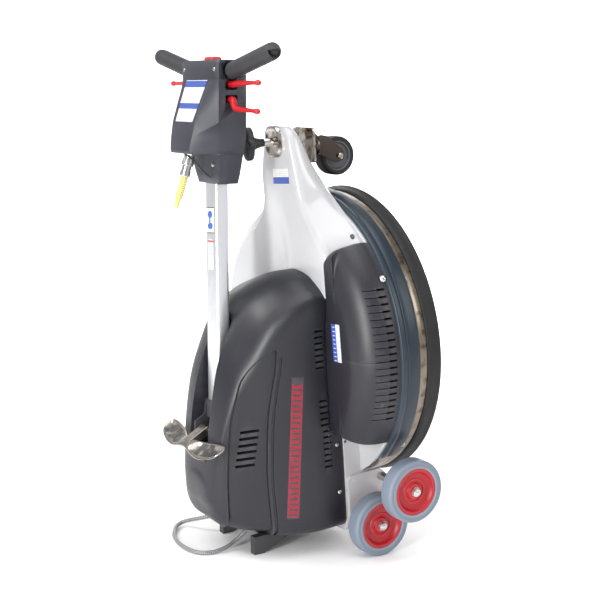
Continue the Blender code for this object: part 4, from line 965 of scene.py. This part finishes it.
# ---------------------------------------------------------------- wheels
def make_wheel(name, label, side, x, depth, rise, body):
    centre = (side * x, depth, rise)
    w = 0.0165
    tread = ([(0.0452, w - 0.001), (0.0475, w)] + arc(0.0500, w - 0.0012, 0.0012, 90, 30,
                                                      2) + [(0.0530, w - 0.0006)]
             + arc(0.0544, w - 0.0060, 0.0060, 80, 0, 6))
    tread = tread + [(r, -h) for r, h in reversed(tread)]
    piece(name + "_tyre_skin_" + label, spin(tread, "x", centre, 72), FINISH["tyre"], body, CHASSIS, angle=35,
          stands_for=(name + "_tyre_" + label,))
    face, dish = side * 0.0148, side * 0.0078
    web = [(0.0083, dish + side * 0.0042), (0.0130, dish + side * 0.0042), (0.0150, dish + side * 0.0032),
           (0.0166, dish + side * 0.0004), (0.0200, dish), (0.0208, dish + side * 0.0012),
           (0.0240, dish + side * 0.0012),
           (0.0250, dish), (0.0330, dish), (0.0352, dish + side * 0.0012), (0.0385, face - side * 0.0006),
           (0.0400, face), (0.0440, face), (0.0449, face - side * 0.0008), (0.0449, -face), (0.0380, -face),
           (0.0330, -dish), (0.0180, -dish), (0.0150, -face), (0.0083, -face)]
    hub = spin(web, "x", centre, 72)
    piece(name + "_hub_skin_" + label, hub, FINISH["red_hub"], body, CHASSIS, angle=32,
          stands_for=(name + "_hub_" + label,))
    end = side * (x + 0.0150)
    cap = spin([(0.0001, side * 0.0070), (0.0030, side * 0.0068), (0.0052, side * 0.0055),
                (0.0060, side * 0.0036),
                (0.0060, 0.0), (0.0092, 0.0), (0.0092, -side * 0.0012), (0.0001, -side * 0.0012)], "x",
               (end, depth, rise), 32, closed=False)
    piece(name + "_cap_nut_" + label, cap, FINISH["steel"], "chassis", CHASSIS, angle=30)


def make_wheels():
    for label, side in (("left", -1), ("right", 1)):
        make_wheel("upper", label, side, 0.2525, -0.0532, -0.2620, "upper_wheel_" + label)
        make_wheel("lower", label, side, 0.1865, -0.0877, -0.3414, "lower_wheel_" + label)


# ---------------------------------------------------------------- handle
def make_tube():
    outline = rounded([(-0.023, -0.204), (0.023, -0.204), (0.023, -0.176), (-0.023, -0.176)], 0.0065, steps=8)
    rings = [[(x, y, z) for x, y in outline] for z in (0.264, 0.30, 0.40, 0.50, 0.60, 0.70, 0.745)]
    return piece("handle_profile", loft(rings), FINISH["aluminium"], "handle", UPRIGHT, angle=50,
                 stands_for=("handle_tube",))


def head_section(z, half, front, back, face, nose):
    """One level of the head: flat sides, a ridge, a chamfer that leans in to the panel, and the panel itself."""
    return [(half, back, z), (half, front, z), (half - 0.0005, front - 0.002, z), (face, nose, z),
            (-face, nose, z),
            (-half + 0.0005, front - 0.002, z), (-half, front, z), (-half, back, z)]


def make_head():
    levels = (
        # z, half width, front edge of the side, back, half width and place of the front face
        (0.9360, 0.0715, -0.2170, -0.1680, 0.0650, -0.2195), (0.9310, 0.0745, -0.2190, -0.1660, 0.0660,
                                                              -0.2215),
        (0.9010, 0.0745, -0.2195, -0.1660, 0.0570, -0.2275), (0.8630, 0.0742, -0.2195, -0.1660, 0.0520,
                                                              -0.2420),
        (0.8250, 0.0735, -0.2195, -0.1660, 0.0470, -0.2560), (0.8000, 0.0730, -0.2195, -0.1660, 0.0440,
                                                              -0.2610),
        (0.7760, 0.0655, -0.2170, -0.1660, 0.0400, -0.2650), (0.7690, 0.0625, -0.2150, -0.1660, 0.0385,
                                                              -0.2640),
    )
    body = loft([[tuple(p) for p in head_section(*level)] for level in levels])
    collar_levels = ((0.7950, 0.0710, -0.2180, -0.1660), (0.7660, 0.0610, -0.2130, -0.1660),
                     (0.7300, 0.0480, -0.2090, -0.1660), (0.7125, 0.0400, -0.2070, -0.1665))
    collar = loft([[(-h, f, z), (h, f, z), (h, b, z), (-h, b, z)] for z, h, f, b in collar_levels])
    head = piece("head_shell", body, FINISH["head"], "handle", UPRIGHT, angle=28,
                 stands_for=("head_front", "head_rear"))
    carve(head, collar, UPRIGHT, "UNION")
    soften(head, 0.0030, 3, 24)
    for side, low in ((-1, 0.883), (1, 0.883), (1, 0.852)):
        x0, x1 = sorted((side * 0.060, side * 0.090))
        carve(head, block((x0, -0.208, low), (x1, -0.184, low + 0.022), 0.002, "yz"), UPRIGHT)
    for side in (-1, 1):
        start = Vector((side * 0.050, BAR_Y, 0.9108))
        end = Vector((side * 0.110, BAR_Y, 0.9235))
        carve(head, tube_along([start, end], 0.0172, 32), UPRIGHT)
    carve(head, block((-0.0190, -0.2066, 0.925), (0.0190, -0.1834, 0.96), 0.008, "xy"), UPRIGHT)
    for x, y, z in ((-0.061, -0.2235, 0.919), (0.061, -0.2235, 0.919), (0.030, -0.2135, 0.748)):
        screw = spin([(0.0001, -0.0016), (0.0020, -0.0016), (0.0032, -0.0010), (0.0036, 0.0), (0.0036, 0.004)],
                     "y",
                     (x, y, z), 24, closed=False)
        piece("head_screw_%d_%d" % (round(1000 * (x + 1)), round(1000 * z)), screw, FINISH["steel"], "handle",
              UPRIGHT)
    decal("panel_label", head, ((-0.034, -0.2555, 0.826), (0.036, -0.2555, 0.826), (0.044, -0.2275, 0.900),
                                (-0.042, -0.2275, 0.900)), (0, 0.93,
                                                            -0.36), LABELS["head"], "handle", place=UPRIGHT)


def make_grips():
    for label, side in (("left", -1), ("right", 1)):
        start = Vector((side * 0.0770, BAR_Y, 0.9165))
        end = Vector((side * 0.2290, BAR_Y, 0.9485))
        stops = [(0.0, 0.0153), (0.02, 0.0157)]
        stops += [(0.02 + 0.88 * k / 40, 0.0154 + 0.00018 * (k % 2)) for k in range(1, 40)]
        stops += [(0.92, 0.0155), (0.952, 0.0152), (0.975, 0.0146), (0.990, 0.0133), (0.998, 0.0110),
                  (0.996, 0.0090), (1.0, 0.0078), (1.0, 0.002)]
        piece("grip_sleeve_" + label, tube_along([start.lerp(end, k) for k, _ in stops], [r for _, r in stops],
                                                 40),
              FINISH["grip"], "handle", UPRIGHT, angle=50, stands_for=("grip_" + label,))


def make_levers():
    for label, side in (("left", -1), ("right", 1)):
        path = [(side * x, BAR_Y, z) for x, z in refine(
            ((0.0620, 0.893), (0.078, 0.893), (0.100, 0.894), (0.130, 0.895), (0.158, 0.895), (0.164, 0.895),
             (0.171, 0.895), (0.1765, 0.895), (0.178, 0.895)), 4)]
        radii = [r[0] for r in refine(((0.0055,), (0.0060,), (0.0056,), (0.0044,), (0.0034,), (0.0044,),
                                       (0.0052,),
                                       (0.0036,), (0.0010,)), 4)]
        piece("squeeze_lever_" + label, tube_along(path, radii, 24), FINISH["red"], "lever_" + label, UPRIGHT,
              angle=50, stands_for=("upper_lever_" + label,))
    path = [(x, BAR_Y, z) for x, z in refine(
        ((0.0620, 0.866), (0.0750, 0.866), (0.0795, 0.8635), (0.0820, 0.8570), (0.0870, 0.8515),
         (0.100, 0.8495),
         (0.130, 0.848), (0.153, 0.847), (0.160, 0.8467), (0.168, 0.8463), (0.1730, 0.8460),
         (0.174, 0.8460)), 4)]
    radii = [r[0] for r in refine(((0.0060,), (0.0062,), (0.0064,), (0.0062,), (0.0057,), (0.0050,), (0.0042,),
                                   (0.0036,), (0.0046,), (0.0052,), (0.0036,), (0.0010,)), 4)]
    piece("release_bar", tube_along(path, radii, 24), FINISH["red"], "release_lever", UPRIGHT, angle=50,
          stands_for=("lower_lever",))
    rings = []
    for inset, z in ((0.0, 0.9305), (0.0, 0.9390), (0.0006, 0.9410), (0.0022, 0.9424), (0.0050, 0.9430)):
        a, b = 0.018 - inset, 0.0108 - inset
        rings.append([(x, y, z) for x, y in rounded([(-a, BAR_Y - b), (a, BAR_Y - b), (a, BAR_Y + b),
                                                     (-a, BAR_Y + b)], 0.0056, 6)])
    piece("button_cap", loft(rings), FINISH["red"], "start_button", UPRIGHT, angle=40,
          stands_for=("start_button",))


def make_pedal():
    half = ((0.0, -0.259, 0.222, 0.0115, 0.0050), (0.018, -0.258, 0.221, 0.014, 0.0052),
            (0.039, -0.255, 0.219, 0.019, 0.0047), (0.064, -0.251, 0.220, 0.0225, 0.0043),
            (0.089, -0.248, 0.224, 0.0215, 0.0038), (0.109, -0.246, 0.229, 0.0165, 0.0033),
            (0.1155, -0.246, 0.231, 0.0075, 0.0024))
    stations = refine([(-x, *rest) for x, *rest in reversed(half[1:])] + list(half), 5)
    droop = radians(33)
    rings = []
    for x, y, z, across, thick in stations:
        ring = []
        for k in range(32):
            a = 2 * pi * k / 32
            u, v = across * cos(a), thick * sin(a)
            hollow = 0.0045 * min(across / 0.02, 1.0) * max(1 - (u / (0.74 * across)) ** 4, 0.0)
            if sin(a) > 0 and abs(x) > 0.022:
                v -= hollow * min((abs(x) - 0.022) / 0.01, 1.0)
            ring.append((x, y + u * cos(droop) - v * sin(droop), z + u * sin(droop) + v * cos(droop)))
        rings.append(ring)
    piece("pedal_casting", loft(rings), FINISH["cast"], "pedal", UPRIGHT, angle=60, stands_for=("foot_pedal",))
    arm = rounded([(-0.263, 0.214), (-0.261, 0.228), (-0.222, 0.2505), (-0.2095, 0.2505), (-0.2095, 0.2355),
                   (-0.220, 0.2320)], 0.003)
    piece("pedal_arm", prism(arm, "yz", -0.012, 0.012), FINISH["cast"], "pedal", UPRIGHT, bevel=(0.0015, 2))
    for side in (-1, 1):
        bm = bmesh.new()
        rows = []
        for x, y, z, across, thick in refine([(side * s[0], *s[1:]) for s in half[2:6]], 6):
            row = []
            for k in range(9):
                u = across * 0.70 * (2 * k / 8 - 1)
                crown = thick * sqrt(max(1 - (u / across) ** 2, 0))
                v = crown - 0.0044 * max(1 - (u / (0.74 * across)) ** 4, 0.0) + 0.0002
                row.append(bm.verts.new((x, y + u * cos(droop) - v * sin(droop),
                                         z + u * sin(droop) + v * cos(droop))))
            rows.append(row)
        for a, b in zip(rows, rows[1:]):
            for k in range(8):
                bm.faces.new((a[k], a[k + 1], b[k + 1], b[k]))
        piece("pedal_hollow_%d" % (side + 1), bm, FINISH["cast_pit"], "pedal", UPRIGHT, angle=60)


# ---------------------------------------------------------------- knob, caster
def make_knob():
    rings = []
    for depth, grow in ((-0.2230, 0.70), (-0.2228, 0.82), (-0.2215, 0.94), (-0.2190, 1.0), (-0.2110, 1.0),
                        (-0.2085, 0.95), (-0.2070, 0.84), (-0.2062, 0.62), (-0.2055, 0.50)):
        ring = []
        for k in range(96):
            a = 2 * pi * k / 96
            r = 0.0215 + 0.0045 * cos(4 * a) + 0.0058 * cos(2 * a)
            ring.append((r * sin(a) * grow, depth, LIFT_RISE + r * cos(a) * grow))
        rings.append(ring)
    for depth, r in ((-0.2010, 0.0112), (-0.1990, 0.0106), (-0.1900, 0.0085), (-0.1815, 0.0072),
                     (-0.1800, 0.0066)):
        rings.append([(r * sin(2 * pi * k / 96), depth, LIFT_RISE + r * cos(2 * pi * k / 96)) for k in range(96)])
    piece("knob_moulding", loft(rings), FINISH["black"], "height_screw", CHASSIS, angle=40,
          stands_for=("lift_knob",))


def make_mount_plate():
    rings = []
    for inset, depth in ((0.0, -0.1572), (0.0, -0.1634), (0.0012, -0.1650), (0.0040, -0.1655),
                         (0.0070, -0.1650),
                         (0.0090, -0.1638)):
        a, b = 0.0255 - inset, 0.0300 - inset
        rings.append([(x, depth, LIFT_RISE + r) for x, r in
                      rounded([(-a, -b), (a, -b), (a, b), (-a, b)], max(0.018 - inset, 0.004), 8)])
    piece("mount_plate", loft(rings), FINISH["chrome"], "chassis", CHASSIS, angle=40,
          stands_for=("lift_plate",))
    bush = [(0.0044, -0.1835), (0.0074, -0.1835), (0.0078, -0.1828), (0.0078, -0.1640), (0.0044, -0.1640)]
    piece("screw_bush", spin(bush, "y", (0, 0, LIFT_RISE), 40), FINISH["steel"], "chassis", CHASSIS, angle=30)


def make_caster_wheel():
    depth, rise = -0.026, 0.352
    half = 0.0155
    tread = ([(0.0285, half - 0.002), (0.0330, half)] + arc(0.0330, half - 0.0050, 0.0050, 85, 0, 6))
    tread = tread + [(r, -h) for r, h in reversed(tread)]
    piece("caster_tread", spin(tread, "x", (0, depth, rise), 56), FINISH["rubber"], "caster_wheel", CHASSIS,
          angle=40,
          stands_for=("caster_wheel",))
    web = [(0.0043, half - 0.001), (0.0120, half - 0.001), (0.0135, half - 0.005), (0.0240, half - 0.006),
           (0.0262, half - 0.0025), (0.0288, half - 0.002), (0.0288, -half + 0.002), (0.0262, -half + 0.0025),
           (0.0240, -half + 0.006), (0.0135, -half + 0.005), (0.0120, -half + 0.001), (0.0043, -half + 0.001)]
    piece("caster_core", spin(web, "x", (0, depth, rise), 56), FINISH["motor"], "caster_wheel", CHASSIS,
          angle=30)
    for side in (-1, 1):
        nut = spin([(0.0001, side * 0.0062), (0.0040, side * 0.0060), (0.0058, side * 0.0045), (0.0062, 0.0),
                    (0.0001, 0.0)], "x", (side * 0.0200, depth, rise), 28, closed=False)
        piece("caster_nut_%d" % (side + 1), nut, FINISH["chrome"], "caster_fork", CHASSIS, angle=30)


# ---------------------------------------------------------------- cords
LEAD_ROUTE = ((0.0, -0.2560, 0.7265), (0.0, -0.2600, 0.7130), (0.0, -0.2645, 0.7000), (0.0, -0.2690, 0.6870),
              (0.0, -0.2740, 0.6700))
LOOP_ROUTE = (
    (-0.0800, -0.1600, 0.0330), (-0.0850, -0.1720, 0.0320), (-0.1000, -0.1860, 0.0260),
    (-0.1220, -0.1960, 0.0175),
    (-0.1380, -0.2060, 0.0100), (-0.1330, -0.2230, 0.0060), (-0.1080, -0.2400, 0.0043),
    (-0.0830, -0.2510, 0.0042),
    (-0.0450, -0.2580, 0.0042), (-0.0060, -0.2550, 0.0042), (0.0180, -0.2430, 0.0042),
    (0.0285, -0.2190, 0.0046),
    (0.0260, -0.1920, 0.0075), (0.0220, -0.1720, 0.0140), (0.0240, -0.1590, 0.0240), (0.0270, -0.1500, 0.0330),
)


def make_cords():
    steel = braid("steel_braid", (0.42, 0.42, 0.43), (0.03, 0.03, 0.03), 4, 0.0075, 0.4, 0.45)
    yellow = braid("woven_sleeve", (0.82, 0.74, 0.26), (0.35, 0.28, 0.06), 5, 0.0080, 0.0, 0.6)
    path = [UPRIGHT @ p for p in smooth_route(LOOP_ROUTE, 56)]
    fine = [UPRIGHT @ p for p in smooth_route(LOOP_ROUTE, 160)]
    loop = piece("braided_loop", tube_along(fine, 0.00395, 20, uv=True), steel, "chassis", angle=60,
                 stands_for=("cable_loop",))
    path = [UPRIGHT @ p for p in smooth_route(LEAD_ROUTE, 25)]
    lead = piece("lead_stub", tube_along(path, 0.00475, 20, uv=True), yellow, "handle", angle=60,
                 stands_for=("mains_lead",))
    sleeve = piece("woven_grip", tube_along(path[:18], [0.0070] * 17 + [0.0062], 24, uv=True), yellow, "handle",
                   angle=60, stands_for=("cord_grip",))
    foot, way = Vector(LEAD_ROUTE[0]), (Vector(LEAD_ROUTE[1]) - Vector(LEAD_ROUTE[0])).normalized()
    top = foot - way * 0.0398
    stops = ((0.0, 0.0098), (0.17, 0.0098), (0.18, 0.0108), (0.30, 0.0112), (0.47, 0.0112), (0.49, 0.0104),
             (0.50, 0.0088), (0.72, 0.0084), (0.73, 0.0096), (0.97, 0.0096), (1.0, 0.0088))
    piece("gland_body", tube_along([top.lerp(foot, k) for k, _ in stops], [r for _, r in stops], 32),
          FINISH["nickel"], "handle", UPRIGHT, angle=30, stands_for=("mains_gland",))
    stay = smooth_route(((0.012, -0.262, 0.7700), (0.012, -0.2420, 0.7560), (0.012, -0.2260, 0.7380),
                         (0.012, -0.2100, 0.7240)), 20)
    piece("earth_strap", tube_along([UPRIGHT @ p for p in stay], 0.0016, 12), FINISH["black"], "handle",
          angle=60)


def make_small_parts(nose, tube):
    """Labels, and the screws that hold the deck, the cover and the disc's rings."""
    decal("nose_label", nose, ((-0.0170, -0.170, 0.3080), (0.0440, -0.170, 0.3120), (0.0440, -0.170, 0.3420),
                               (-0.0150, -0.170, 0.3380)), (0, 1, 0), LABELS["nose"], "chassis", place=CHASSIS)
    decal("tube_label", tube, ((-0.0160, -0.215, 0.6175), (0.0155, -0.215, 0.6205), (0.0155, -0.215, 0.6690),
                               (-0.0160, -0.215, 0.6660)), (0, 1, 0), LABELS["tube"], "handle", place=UPRIGHT)
    decal("tube_note", tube, ((-0.0110, -0.215, 0.5500), (0.0120, -0.215, 0.5510), (0.0120, -0.215, 0.6080),
                              (-0.0110, -0.215, 0.6070)), (0, 1, 0), LABELS["note"], "handle", place=UPRIGHT)
    for name, r, where, axis, finish, out in (
            ("flange_screw_right", 0.0050, (0.1640, -0.1012, 0.2165), "y", "motor", 0.0016),
            ("cover_screw_upper", 0.0040, (0.1405, -0.1425, -0.1825), "x", "steel", 0.0016),
            ("cover_screw_lower", 0.0040, (0.1405, -0.1420, -0.2780), "x", "steel", 0.0016),
            ("deck_screw_upper", 0.0028, (0.1400, -0.1240, -0.1803), "x", "motor", 0.0016),
            ("deck_screw_lower", 0.0028, (0.1400, -0.1240, -0.2774), "x", "motor", 0.0016),
            ("ring_bolt_upper", 0.0075, (0.2440, -0.0925, 0.1467), "y", "steel", 0.0050)):
        sign = -1 if axis == "y" else 1
        steps = ((0.0001, out), (0.30 * r, out), (0.32 * r, out * 0.5), (0.48 * r, out * 0.5),
                 (0.50 * r, out * 0.96),
                 (0.82 * r, out * 0.6), (r, 0.0), (r, -0.003))
        dome = spin([(reach, sign * height) for reach, height in steps], axis, where, 28, closed=False)
        piece(name, dome, FINISH[finish], "chassis", CHASSIS, angle=30)
    for name, angle in (("ring_bolt_right", 128.5), ("ring_bolt_left", -128.5)):
        bolt = spin([(0.0001, 0.0016), (0.0028, 0.0014), (0.0050, 0.0), (0.0050, -0.002)], "x",
                    (0.2900, -0.0505, 0.0), 24, closed=False)
        bolt.transform(Matrix.Rotation(radians(angle - 90), 4, "Y"))
        piece(name, bolt, FINISH["steel"], "chassis", CHASSIS, angle=30)


# ---------------------------------------------------------------- build
make_studio()
nose = make_deck()
make_rim()
make_motor_cover()
make_filter_cover()
make_wheels()
tube = make_tube()
make_head()
make_grips()
make_levers()
make_pedal()
make_knob()
make_mount_plate()
make_caster_wheel()
make_cords()
make_small_parts(nose, tube)
